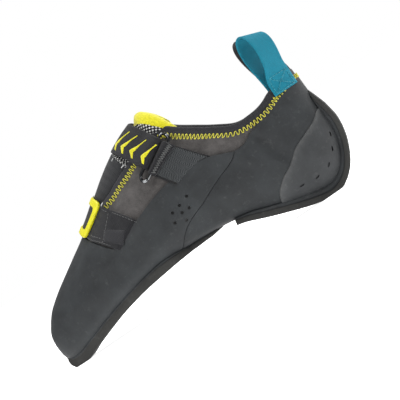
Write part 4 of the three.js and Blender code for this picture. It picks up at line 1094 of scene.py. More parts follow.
@dataclass
class Soles:
    """The two outsoles: slabs that fit the rubber above and stand square at their edges."""

    round_edge: float = 0.9
    sunk: float = 0.35
    least: float = 0.15
    lip: float = 0.12
    top_points: int = 41
    bottom_points: int = 24
    front_ends: tuple[float, float] = (1.02, 12.65)
    heel_ends: tuple[float, float] = (13.34, 24.66)

    def slab_under(self, stations: np.ndarray, thickness: float, upper_edge: np.ndarray) -> tuple:
        """A slab made of closed sections: the form's curve on top, a ledge, upright walls and a flat bottom.

        Where its edge has no groove its top is sunk in the rubber above, so that no seam shows there.

        Args:
            stations: the stations of its sections.
            thickness: thickness of the rubber layer above it.
            upper_edge: rows of station, height share of the upper edge, height of the band and its groove.

        Returns:
            Points, faces and the finish of each face: 1 above the groove, 0 elsewhere.
        """
        ring = FORM.ring(stations)
        share_up, band, groove = (np.interp(stations, upper_edge[:, 0], upper_edge[:, k]) for k in (1, 2, 3))
        height = np.hypot(ring["xt"] - ring["xb"], ring["zt"] - ring["zb"])
        lift = GAP + thickness + GAP
        depth = lift + OUTSOLE * np.interp(stations, SOLE[:, 0], SOLE[:, 1])
        sunk = self.sunk - np.minimum(groove, self.sunk)
        top_lift = np.minimum(lift - sunk, depth - self.least)
        near, far = FORM.ring(stations - 0.3), FORM.ring(stations + 0.3)
        run = np.stack([far["xb"] - near["xb"], far["zb"] - near["zb"]], axis=1)
        run /= np.linalg.norm(run, axis=1, keepdims=True)
        down = np.stack([run[:, 1], np.zeros(len(run)), -run[:, 0]], axis=1)
        line = np.stack([ring["xb"], ring["yb"], ring["zb"]], axis=1)
        base = line + down * depth[:, None]
        tries = np.linspace(0.0, 0.5, 120)
        ends = {}
        for side in Side:
            spread = FORM.at(stations[:, None], side.value * tries[None, :], top_lift[:, None])
            above = -np.einsum("ijk,ik->ij", spread - line[:, None, :], down)
            above = np.maximum.accumulate(above, axis=1)
            goal = np.maximum(share_up * height, 0.25 - top_lift)
            ends[side] = np.array([np.interp(g, a, tries) for g, a in zip(goal, above)]) * side.value
        share = np.linspace(0, 1, self.top_points)[None, :]
        girth = ends[Side.OUTER][:, None] * (1 - share) + ends[Side.INNER][:, None] * share
        top = FORM.at(stations[:, None], girth, top_lift[:, None])
        walls = []
        for edge, inward in ((top[:, -1], -1.0), (top[:, 0], 1.0)):
            side = np.array([0, inward, 0])
            drop = np.einsum("ij,ij->i", base - edge, down)
            proud = np.minimum(groove, drop * 0.2)[:, None]
            step = (drop - np.minimum(band, drop * 0.86))[:, None]
            drop = drop[:, None]
            soft = np.minimum(self.round_edge, np.maximum(drop * 0.3, 0.05))
            neck = edge - side * self.lip
            ledge = neck + down * step
            foot = ledge - side * proud + down * (drop - step)
            quarter = np.linspace(0, math.pi / 2, 5)
            lower = [foot - down * soft * (1 - math.sin(a)) + side * soft * (1 - math.cos(a))
                     for a in quarter]
            walls.append([neck + down * 0.1, neck + down * step * 0.6, ledge + side * proud * 0.5,
                          ledge - side * (proud - 0.1) + down * self.lip,
                          ledge - side * proud + down * 0.4, *lower])
        inner_wall, outer_wall = walls[0], walls[1][::-1]
        bottom = [inner_wall[-1] * (1 - t) + outer_wall[0] * t
                  for t in np.linspace(0, 1, self.bottom_points)[1:-1]]
        section = np.stack([*np.swapaxes(top, 0, 1), *inner_wall, *bottom, *outer_wall], axis=1)
        section[:, :, 2] = np.maximum(section[:, :, 2], 0.0)
        rows, columns = section.shape[:2]
        faces = [tuple(f) for f in grid_faces(rows, columns, wrap=True)]
        strip = np.zeros(columns, dtype=int)
        strip[self.top_points - 1:self.top_points + 2] = 1
        strip[-3:] = 1
        finish = np.tile(strip, rows - 1)
        caps = self.end_caps(rows, columns, self.top_points)
        finish = np.concatenate([finish, np.zeros(len(caps), dtype=int)])
        return section.reshape(-1, 3), faces + caps, finish

    @staticmethod
    def end_caps(rows: int, columns: int, top: int) -> list:
        """Faces that close both ends, as strips between the top curve and the rest of the section."""
        faces = []
        under = columns - top
        for start, turn in ((0, 1), ((rows - 1) * columns, -1)):
            for k in range(max(top, under) - 1):
                a = start + min(k, top - 1)
                b = start + min(k + 1, top - 1)
                c = start + columns - 1 - min(k + 1, under - 1)
                d = start + columns - 1 - min(k, under - 1)
                corners = list(dict.fromkeys([a, b, c, d]))
                if len(corners) > 2:
                    faces.append(tuple(corners[::turn]))
        return faces

    def build(self) -> None:
        """Makes both outsoles."""
        front = np.concatenate([np.linspace(self.front_ends[0], 3, 24, endpoint=False),
                                np.linspace(3, self.front_ends[1], 70)])
        heel = np.linspace(*self.heel_ends, 110)
        for name, node, stations, layer, edge, above in (
            ("forefoot_outsole", "front_outsole", front, RAND, FRONT_SOLE_TOP, RAND_SHEET),
            ("climbing_heel_sole", "heel_outsole", heel, HEEL_RUBBER, HEEL_SOLE_TOP, SLING_SHEET),
        ):
            points, faces, finish = self.slab_under(stations, layer, edge)
            Piece(name, points, faces, SOLE_SHEET, "sole_rubber", (node,), extra_finishes=(above,),
                  face_finish=finish).make()


@dataclass
class Insole:
    """The board inside the sock."""

    front: float = 1.6
    rear: float = 18.6
    half_girth: float = 0.27

    def build(self) -> None:
        """A sheet on the inner face of the sock, from the toes to the heel seat."""
        station = np.linspace(self.front, self.rear, 90)[:, None]
        girth = np.linspace(-self.half_girth, self.half_girth, 40)[None, :]
        station, girth = np.broadcast_arrays(station, girth)
        top = FORM.at(station, girth, np.full(station.shape, -UPPER_WALL - GAP - INSOLE))
        under = FORM.at(station, girth, np.full(station.shape, -UPPER_WALL - 0.1))
        points, faces, _ = slab(top, under)
        Piece("insole_board", points, faces, BOARD, "insole_board", ("insole",)).make()


@dataclass
class Binding:
    """The tape over the rim of collar and throat, with its yellow zigzag seam."""

    width: float = 5.2
    inside: float = 4.2
    seam_top: float = 3.9
    seam_width: float = 3.0
    stitch: float = 2.65
    thread: float = 0.3

    @staticmethod
    def steps_from(rim: np.ndarray) -> np.ndarray:
        """How far station and girth change for one millimetre away from the opening, across the rim.

        The direction is the rim's own crossed with the form's normal, solved in station and girth by the
        two by two equations of the form's tangents.

        Args:
            rim: the loop of the opening.

        Returns:
            Steps of station and girth for each point of the rim.
        """
        station, girth = rim.T
        spot = FORM.at(station, girth, 0)
        along = np.roll(spot, -1, axis=0) - np.roll(spot, 1, axis=0)
        along /= np.linalg.norm(along, axis=1, keepdims=True)
        away = np.cross(along, FORM.normals(station, girth))
        step = 0.01
        by_station = (FORM.at(station + step, girth, 0) - FORM.at(station - step, girth, 0)) / (2 * step)
        by_girth = (FORM.at(station, girth + step, 0) - FORM.at(station, girth - step, 0)) / (2 * step)
        aa = np.einsum("ij,ij->i", by_station, by_station)
        ab = np.einsum("ij,ij->i", by_station, by_girth)
        bb = np.einsum("ij,ij->i", by_girth, by_girth)
        pa = np.einsum("ij,ij->i", by_station, away)
        pb = np.einsum("ij,ij->i", by_girth, away)
        det = aa * bb - ab * ab
        steps = np.stack([(pa * bb - pb * ab) / det, (pb * aa - pa * ab) / det], axis=1)
        kernel = np.ones(7) / 7
        smooth = [np.convolve(np.concatenate([s[-3:], s, s[:3]]), kernel, mode="valid") for s in steps.T]
        return np.stack(smooth, axis=1)

    def tape(self, rim: np.ndarray, steps: np.ndarray, away: np.ndarray) -> None:
        """A folded section carried round the rim, on the form below the edge and straight out past it."""
        profile = np.array([
            (self.width, 0.02), (self.width, 0.7), (self.width - 0.5, 1.15), (self.width - 1.6, 1.3),
            (self.width / 2, 1.35), (1.0, 1.35), (0.0, 1.3), (-0.7, 1.05), (-1.15, 0.4), (-1.3, -0.6),
            (-1.3, -1.4), (-1.05, -2.3), (-0.5, -2.85), (0.6, -3.0), (2.2, -3.0), (self.inside - 0.6, -2.9),
            (self.inside, -2.6), (self.inside, -2.02), (1.5, -2.02), (0.2, -2.02), (0.15, -1.0), (0.2, 0.02),
            (1.5, 0.02), (3.2, 0.02),
        ])
        rings = []
        for reach, lift in profile:
            spot = rim + steps * max(reach, 0.0)
            points = FORM.at(spot[:, 0], spot[:, 1], np.full(len(rim), lift))
            rings.append(points + away * min(reach, 0.0))
        grid = np.stack(rings, axis=1)
        count = len(rim)
        points = grid.reshape(-1, 3)
        faces = [tuple(f) for f in grid_faces(count, len(profile), wrap=True)]
        faces += last_to_first(count, len(profile))
        run = run_along(grid[:, 0])
        around = run_along(profile)
        uv = np.stack(np.broadcast_arrays(run[:, None], around[None, :]), axis=-1).reshape(-1, 2)
        Piece("rim_binding", points, faces, TAPE, "binding_tape", ("collar_binding",), uv=uv).make()

    def zigzag(self, rim: np.ndarray, steps: np.ndarray) -> None:
        """One thread that swings between two lines beside the tape's edge, half a stitch at a time."""
        spot = FORM.at(rim[:, 0], rim[:, 1], 0)
        run = run_along(spot)
        half = self.stitch / 2
        count = int(run[-1] / half)
        at = np.arange(0, count + 0.01, 0.25) * half
        swing = 0.5 + 0.5 * np.cos(math.pi * at / half)
        swing = 0.5 + 0.5 * np.tanh(2.2 * (2 * swing - 1)) / math.tanh(2.2)
        base = np.stack([np.interp(at, run, rim[:, k]) for k in range(2)], axis=1)
        step = np.stack([np.interp(at, run, steps[:, k]) for k in range(2)], axis=1)
        reach = self.seam_top + self.seam_width * swing
        over = np.clip((self.width + 0.5 - reach) / 0.8, 0, 1)
        lift = 0.25 + 1.2 * eased(over)
        place = base + step * reach[:, None]
        rubber = np.array([*RAND_TOP, *SLING_TOP[1:]])
        edge = np.interp(place[:, 0], rubber[:, 0], rubber[:, 1])
        on_top = np.clip((edge + 0.012 - FORM.height_share(place[:, 0], place[:, 1])) / 0.014, 0, 1)
        lift = np.maximum(lift, (GAP + HEEL_RUBBER + 0.2) * eased(on_top))
        path = FORM.at(place[:, 0], place[:, 1], lift)
        points, faces = tube(path, FORM.normals(place[:, 0], place[:, 1]), self.thread, 6)
        Piece("zigzag_seam", points, faces, YELLOW_THREAD, "tongue_mesh").make()

    def build(self) -> None:
        """Makes the tape and its seam."""
        rim = Upper(rim_points=(120, 170)).rim()
        steps = self.steps_from(rim)
        inward = FORM.at(*(rim + steps * 2).T, 0) - FORM.at(*rim.T, 0)
        away = inward / np.linalg.norm(inward, axis=1, keepdims=True)
        self.tape(rim, steps, away)
        self.zigzag(rim, steps)


@dataclass
class Tongue:
    """The padded tongue under the throat, mesh outside, with its yellow lining turned over the top."""

    columns: int = 70
    rows: int = 180
    dip: float = 0.6

    def build(self) -> None:
        """A pad between two faces on the form, rounded at its edges and fuller in the middle."""
        table = smooth_line(np.array(TONGUE_ROWS), self.rows)
        share = np.linspace(0, 1, self.columns)[None, :]
        girth = table[:, 1:2] * (1 - share) + table[:, 2:3] * share
        late = np.clip((table[:, :1] - 14.5) / 2.1, 0, 1)
        station = table[:, :1] - self.dip * late * np.exp(-((girth / 0.07) ** 2))
        rise = table[:, 3:4] * TONGUE_BULGE * (1 - (2 * share - 1) ** 2)
        across = np.sqrt(np.clip(1 - np.abs(2 * share - 1) ** 8, 0, 1))
        down = np.linspace(0, 1, self.rows)[:, None]
        ends = np.sqrt(np.clip(1 - np.clip(down * 30 - 29, 0, 1) ** 2, 0.0, 1))
        full = TONGUE * across * ends
        middle = -UPPER_WALL - 4 * GAP - TONGUE / 2 + rise
        top = FORM.at(station, -1 - girth, middle + full / 2)
        under = FORM.at(station, -1 - girth, middle - full / 2)
        run = run_along(top[:, self.columns // 2])
        wide = run_along(top[self.rows // 2])
        uv = np.stack(np.broadcast_arrays(run[:, None], wide[None, :]), axis=-1)
        points, faces, uv = slab(top, under, uv)
        finish = np.ones(len(faces), dtype=int)
        lined = station > np.interp(np.abs(girth), LINING_EDGE[:, 0], LINING_EDGE[:, 1])
        outside = (self.rows - 1) * (self.columns - 1)
        finish[:outside] = lined[:-1, :-1].ravel()
        made = Piece("padded_tongue", points, faces, MESH_KNIT, "tongue_mesh", ("tongue",), uv=uv,
                     extra_finishes=(YELLOW_KNIT,), face_finish=finish).make()


def row_place(rows: tuple, row: np.ndarray, share: np.ndarray, lift: np.ndarray) -> np.ndarray:
    """Points by the row of a strap's table and the share of the way from its front to its rear end.

    Args:
        rows: the strap's table.
        row: places along the strap, counted in rows.
        share: places across it, from 0 to 1.
        lift: heights over the form.

    Returns:
        Points in millimetres.
    """
    table = np.array(rows, dtype=float)
    row, share, lift = np.broadcast_arrays(row, share, lift)
    low = np.clip(np.floor(row).astype(int), 0, len(table) - 2)
    t = (row - low)[..., None]
    cell = table[low] * (1 - t) + table[low + 1] * t
    station = cell[..., 0] * (1 - share) + cell[..., 2] * share
    girth = cell[..., 1] * (1 - share) + cell[..., 3] * share
    return FORM.at(station, -1 - girth, lift)


@dataclass
class Strap:
    """One strap system: a strap folded round its ring, the webbing that holds the ring, and the pull tab."""

    name: str
    rows: tuple
    ring_rows: tuple
    webbing_rows: tuple
    tab_rows: tuple[tuple[float, float], tuple[float, float]]
    webbing_back: float = 0.17
    tuck: float = 1.8
    ring_overhang: float = 2.2
    columns: int = 33

    strap_lift = GAP + max(BINDING, ELASTIC) + 2 * GAP
    bar_room = RING_WIRE / 2 + 1.5 * GAP
    lower_steps = 90
    turn_steps = 14
    upper_steps = 59
    strap_settle = 12.0
    webbing_settle = 4.5

    @property
    def ring_lift(self) -> float:
        """Height of the ring's wire over the form."""
        return self.strap_lift + WEBBING + self.bar_room

    def under_rubber(self, rows: tuple, share: np.ndarray) -> np.ndarray:
        """The row at which each thread of a band meets the rubber's upper edge.

        Args:
            rows: the band's table.
            share: places across the band.

        Returns:
            A row for each share.
        """
        table = np.array(rows, dtype=float)
        tries = np.linspace(0.3, len(rows) - 1, 300)
        edge = np.array([*RAND_TOP, *SLING_TOP[1:]])
        low = np.clip(np.floor(tries).astype(int), 0, len(table) - 2)
        t = (tries - low)[:, None]
        cell = table[low] * (1 - t) + table[low + 1] * t
        station = cell[:, :1] * (1 - share) + cell[:, 2:3] * share
        girth = cell[:, 1:2] * (1 - share) + cell[:, 3:4] * share
        below = FORM.height_share(station, -1 - girth) < np.interp(station, edge[:, 0], edge[:, 1])
        first = np.where(below.any(axis=0), below.argmax(axis=0), len(tries) - 1)
        return tries[first]

    def folded(self, rows: tuple, back: float, settle: float) -> tuple:
        """A band from under the rubber round the bar at row 0 and back to row back, on top of itself.

        Args:
            rows: its table.
            back: row where its upper layer ends.
            settle: length over which the upper layer comes down to the lower one.

        Returns:
            Points, faces and weave places.
        """
        span = self.span(rows)
        rest = self.strap_lift + WEBBING + GAP
        share = np.linspace(0, 1, self.columns)[None, :]
        seam = self.under_rubber(rows, share) + self.tuck / span
        way = np.linspace(1, 0, self.lower_steps, endpoint=False)[:, None]
        low = seam * way
        sink = np.clip(((low - seam) * span + 2.6 * self.tuck) / (1.6 * self.tuck), 0, 1)
        sink = (self.strap_lift - 0.15) * eased(sink)
        turn = np.linspace(0, 1, self.turn_steps)[:, None] * math.pi + 0 * share
        high = np.linspace(0, back, self.upper_steps + 1)[1:, None] + 0 * share
        fall = eased(np.clip(high * span / settle, 0, 1))
        over = self.ring_lift + self.bar_room + (rest - self.ring_lift - self.bar_room) * fall
        wide, tight = self.bar_room + WEBBING, self.bar_room
        outer_row = np.concatenate([low, -wide * np.sin(turn) / span, high])
        inner_row = np.concatenate([low, -tight * np.sin(turn) / span, high])
        outer_lift = np.concatenate([self.strap_lift - sink, self.ring_lift - wide * np.cos(turn),
                                     over + WEBBING])
        inner_lift = np.concatenate([self.strap_lift + WEBBING - sink * 1.05,
                                     self.ring_lift - tight * np.cos(turn), over])
        edge = np.clip(np.minimum(share, 1 - share) / 0.035, 0, 1)
        scale = np.maximum(np.sqrt(1 - (1 - edge) ** 2), 0.3)
        faces_at = [
            row_place(rows, (outer_row + inner_row) / 2 + sign * (outer_row - inner_row) / 2 * scale, share,
                      (outer_lift + inner_lift) / 2 + sign * (outer_lift - inner_lift) / 2 * scale)
            for sign in (1, -1)
        ]
        run = run_along(faces_at[0][:, 16])
        wide_mm = float(np.linalg.norm(faces_at[0][5, -1] - faces_at[0][5, 0]))
        uv = np.stack(np.broadcast_arrays(run[:, None], share * wide_mm), axis=-1)
        return slab(faces_at[0], faces_at[1], uv)

    def upper_layer(self, faces: list) -> np.ndarray:
        """1 for the faces of a band that lie past the bar, on the fold's upper layer, 0 for the others."""
        rows = self.lower_steps + self.turn_steps + self.upper_steps
        first = np.array([min(face) for face in faces]) % (rows * self.columns)
        return (first // self.columns >= self.lower_steps + self.turn_steps // 2).astype(int)

    def top_lift(self, rows: tuple, row: np.ndarray, settle: float) -> np.ndarray:
        """Height over the form of the outer face of a band's upper layer."""
        fall = eased(np.clip(row * self.span(rows) / settle, 0, 1))
        high = self.ring_lift + self.bar_room
        return high + (self.strap_lift + WEBBING + GAP - high) * fall + WEBBING

    def ring(self) -> None:
        """A rounded wire ring with one bar in each of its two rows."""
        rows = self.ring_rows
        width = float(np.linalg.norm(row_place(rows, 0, 0, 0) - row_place(rows, 0, 1, 0)))
        height = self.span(rows)
        radius = RING_WIRE * 1.2
        corners = ((0.0, radius, math.pi), (width, radius, 1.5 * math.pi), (width, height - radius, 0.0),
                   (0.0, height - radius, 0.5 * math.pi))
        flat = np.array([
            (x + radius * math.cos(start + a), y + radius * math.sin(start + a))
            for x, y, start in corners for a in np.linspace(0, math.pi / 2, 9)
        ])
        closed = np.vstack([flat, flat[:1]])
        run = run_along(closed)
        at = np.linspace(0, run[-1], 120, endpoint=False)
        flat = np.stack([np.interp(at, run, closed[:, k]) for k in range(2)], axis=1)
        flat[:, 0] = (flat[:, 0] / width * 2 - 1) * (width / 2 + self.ring_overhang) + width / 2
        path = row_place(rows, flat[:, 1] / height, flat[:, 0] / width, self.ring_lift)
        normals = row_place(rows, flat[:, 1] / height, flat[:, 0] / width, self.ring_lift + 1) - path
        points, faces = tube(path, normals, RING_WIRE / 2, 12, closed=True)
        Piece(f"{self.name}_wire_ring", points, faces, WIRE, "coated_wire", (f"{self.name}_ring",)).make()

    def tab(self) -> None:
        """The yellow pull tab: a rounded frame round a window, with a black web inside it."""
        lift = self.strap_lift + WEBBING + GAP
        (start, end), (low, high) = self.tab_rows
        shape = MeshParts()
        turn = np.linspace(0, 2 * math.pi, 120, endpoint=False)
        loops = []
        for a, b, c, d, power in ((start, end, -0.04, 1.04, 9.0), (low, high, 0.16, 0.84, 7.0)):
            cos, sin = np.cos(turn), np.sin(turn)
            x = np.sign(cos) * np.abs(cos) ** (2 / power)
            y = np.sign(sin) * np.abs(sin) ** (2 / power)
            loops.append(((a + b) / 2 + x * (b - a) / 2, (c + d) / 2 + y * (d - c) / 2))
        (outer_row, outer_share), (inner_row, inner_share) = loops
        profile = ((0.0, 0.0), (0.0, 0.75), (0.08, 0.95), (0.2, 1.0), (0.8, 1.0), (0.92, 0.95), (1.0, 0.75),
                   (1.0, 0.0))
        rings = [
            row_place(self.rows, outer_row + (inner_row - outer_row) * across,
                      outer_share + (inner_share - outer_share) * across, lift + TAB * up)
            for across, up in profile
        ]
        grid = np.stack(rings, axis=0)
        count = len(turn)
        faces = [tuple(f) for f in grid_faces(len(profile), count, wrap=True)]
        faces += last_to_first(len(profile), count)
        shape.add(grid.reshape(-1, 3), faces)
        shape.piece(f"{self.name}_pull_tab", YELLOW_MOULD, "moulded_tab",
                    replaces=(f"{self.name}_tab",)).make()
        row = np.linspace(low - 0.015 * np.sign(high - low), high + 0.015 * np.sign(high - low), 16)[:, None]
        share = np.linspace(0.14, 0.86, 24)[None, :]
        top = row_place(self.rows, row, share, lift + 0.45 * TAB)
        under = row_place(self.rows, row, share, lift)
        points, faces, uv = slab(top, under, np.zeros((16, 24, 2)))
        Piece(f"{self.name}_tab_web", points, faces, BLACK_MOULD, "moulded_tab").make()

    @staticmethod
    def span(rows: tuple) -> float:
        """Length of the first row of a table along the middle of its band."""
        return float(np.linalg.norm(row_place(rows, 0, 0.5, 0) - row_place(rows, 1, 0.5, 0)))

    def chevrons(self) -> None:
        """Four woven marks on the upper layer, each a bent stroke that is widest where it bends.

        Along a mark the place across the strap rises evenly; its row falls away from the bend in two
        straight lines, and its breadth is a bell round the bend.
        """
        bends = (0.085, 0.375, 0.615, 0.845)
        low, bend, high = 0.1, 0.255, 0.755
        span = self.span(self.rows)
        shape = MeshParts()
        share = np.linspace(low, high, 48)[:, None]
        across = np.linspace(-0.5, 0.5, 7)[None, :]
        away = np.where(share < bend, 0.09 * (bend - share) / (bend - low),
                        0.18 * (share - bend) / (high - bend))
        breadth = (0.8 + 2.2 * np.exp(-(((share - bend - 0.03) / 0.16) ** 2))) / span
        crown = 1 - (2 * across) ** 4
        for k, apex in enumerate(bends):
            reach = 0.75 if k == 0 else 1.0
            row = apex - away * reach + breadth * across
            round_end = np.maximum(0.0, -row * span - 0.4)
            radius = self.bar_room + WEBBING
            fall = radius - np.sqrt(np.maximum(radius**2 - round_end**2, 0.2))
            lift = self.top_lift(self.rows, np.maximum(row, 0), self.strap_settle) - fall
            top = row_place(self.rows, row, share + 0 * row, lift + 0.12 + 0.22 * crown)
            under = row_place(self.rows, row, share + 0 * row, lift - 0.25)
            points, faces, uv = slab(top, under)
            shape.add(points, faces, uv)
        shape.piece("woven_chevrons", YELLOW_WEAVE, "webbing").make()

    def webbing_seam(self) -> None:
        """A saw-tooth row of thread that holds the webbing's fold, just behind the bar."""
        rows = self.webbing_rows
        span = self.span(rows)
        teeth = 14
        share = np.linspace(0.04, 0.96, teeth * 8 + 1)
        wave = np.abs((np.arange(len(share)) / 4.0) % 2 - 1)
        row = self.webbing_back - (1.0 + 2.2 * wave) / span
        lift = self.top_lift(rows, row, self.webbing_settle) + 0.12
        path = row_place(rows, row, share, lift)
        up = row_place(rows, row, share, lift + 1) - path
        points, faces = tube(path, up, 0.3, 6)
        Piece("webbing_fold_seam", points, faces, GREY_THREAD, "webbing").make()

    def dashes(self, shape: MeshParts, start: tuple, end: tuple, lift: float, pitch: float = 2.3) -> None:
        """Adds a row of short stitches between two places on the strap.

        Args:
            shape: where the stitches go.
            start: row and share of the first.
            end: row and share of the last.
            lift: height over the form.
            pitch: length of a stitch and its gap.
        """
        ends = row_place(self.rows, np.array([start[0], end[0]]), np.array([start[1], end[1]]), lift)
        count = max(2, int(np.linalg.norm(ends[1] - ends[0]) / pitch))
        for k in range(count):
            t = (k + np.linspace(0.12, 0.8, 6)) / count
            row = start[0] + (end[0] - start[0]) * t
            share = start[1] + (end[1] - start[1]) * t
            high = lift + 0.22 * np.sin(np.linspace(0, math.pi, 6)) - 0.1
            path = row_place(self.rows, row, share, high)
            up = row_place(self.rows, row, share, high + 1) - path
            shape.add(*tube(path, up, 0.24, 6))

    def patch(self) -> None:
        """Stitch rows and the darker panel on the strap's outer end, past the tab."""
        lift = self.strap_lift + WEBBING
        shape = MeshParts()
        seams = (((2.14, 0.9), (2.4, 0.03)), ((2.2, 0.94), (2.84, 0.94)), ((1.86, 0.05), (2.62, 0.05)),
                 ((1.88, 0.92), (2.1, 0.92)), ((1.9, 0.16), (2.3, 0.16)))
        for start, end in seams:
            self.dashes(shape, start, end, lift)
        shape.piece("patch_stitches", GREY_THREAD, "webbing").make()
        a, b = np.linspace(0, 1, 24)[:, None], np.linspace(0, 1, 16)[None, :]
        row = (2.24 * (1 - a) + 2.71 * a) * (1 - b) + (2.40 * (1 - a) + 2.85 * a) * b
        share = (0.42 * (1 - a) + 0.6 * a) * (1 - b) + (0.1 * (1 - a) + 0.18 * a) * b
        rim = np.minimum(1, 8 * np.minimum(np.minimum(a, 1 - a), np.minimum(b, 1 - b)))
        top = row_place(self.rows, row, share, lift + 0.05 + 0.25 * rim)
        under = row_place(self.rows, row, share, np.full(row.shape, lift - 0.2))
        points, faces, uv = slab(top, under, np.stack(np.broadcast_arrays(a * 16, b * 9), axis=-1))
        Piece("patch_panel", points, faces, TAPE, "webbing", uv=uv).make()
        tacks = MeshParts()
        for station, girth in ((11.95, -0.1), (12.0, -0.2), (10.0, -0.03), (10.1, -0.215)):
            place = station + np.linspace(-0.08, 0.08, 6)
            path = FORM.at(place, np.full(6, -1 - girth), 1.6 + ELASTIC_BULGE * 0.75)
            tacks.add(*tube(path, FORM.normals(place, np.full(6, -1 - girth)), 0.35, 6))
        tacks.piece("elastic_bar_tacks", PALE_THREAD, "webbing").make()

    def build(self) -> None:
        """Makes the strap, its ring, the ring's webbing and the tab."""
        points, faces, uv = self.folded(self.rows, self.tab_rows[0][0] - TAB_SPACE, self.strap_settle)
        Piece(f"{self.name}_closure_strap", points, faces, BLACK_WEBBING, "webbing", (f"{self.name}_strap",),
              uv=uv).make()
        points, faces, uv = self.folded(self.webbing_rows, self.webbing_back, self.webbing_settle)
        finish = replace(GREY_WEBBING, name=f"{GREY_WEBBING.name}_{self.name}",
                         band_width=float(uv[:, 1].max()))
        Piece(f"{self.name}_ring_webbing", points, faces, finish, "webbing", (f"{self.name}_webbing",),
              uv=uv, extra_finishes=(BLACK_WEBBING,), face_finish=self.upper_layer(faces)).make()
        self.ring()
        self.tab()


@dataclass
class Gusset:
    """The elastic that closes the front of the throat."""

    front: float = 10.0
    rear: float = 12.04
    points: int = 40
    size: tuple[float, float] = (30.0, 22.0)

    def build(self) -> None:
        """A sheet between the two edges of the throat, tucked under the binding."""
        station = np.linspace(self.front, self.rear, self.points)
        outer = np.interp(station, *np.array(OUTER_THROAT)[1:].T)
        inner = np.interp(station, *np.array(INNER_THROAT)[1:].T)
        left = FORM.girth_at_height(station, outer, Side.OUTER)
        right = FORM.girth_at_height(station, inner, Side.INNER)
        share = np.linspace(0, 1, self.points)[None, :]
        girth = left[:, None] * (1 - share) + (right[:, None] - 2) * share
        place = np.repeat(station[:, None], self.points, axis=1)
        swell = ELASTIC_BULGE * (1 - (2 * share - 1) ** 2) ** 0.8 + np.zeros(place.shape)
        top = FORM.at(place, girth, swell + 0.1)
        under = FORM.at(place, girth, swell - ELASTIC)
        run = np.linspace(0, self.size[1], self.points)[:, None]
        uv = np.stack(np.broadcast_arrays(share * self.size[0], run), axis=-1)
        points, faces, uv = slab(top, under, uv)
        Piece("throat_elastic", points, faces, ELASTIC_KNIT, "elastic", ("throat_gusset",), uv=uv).make()


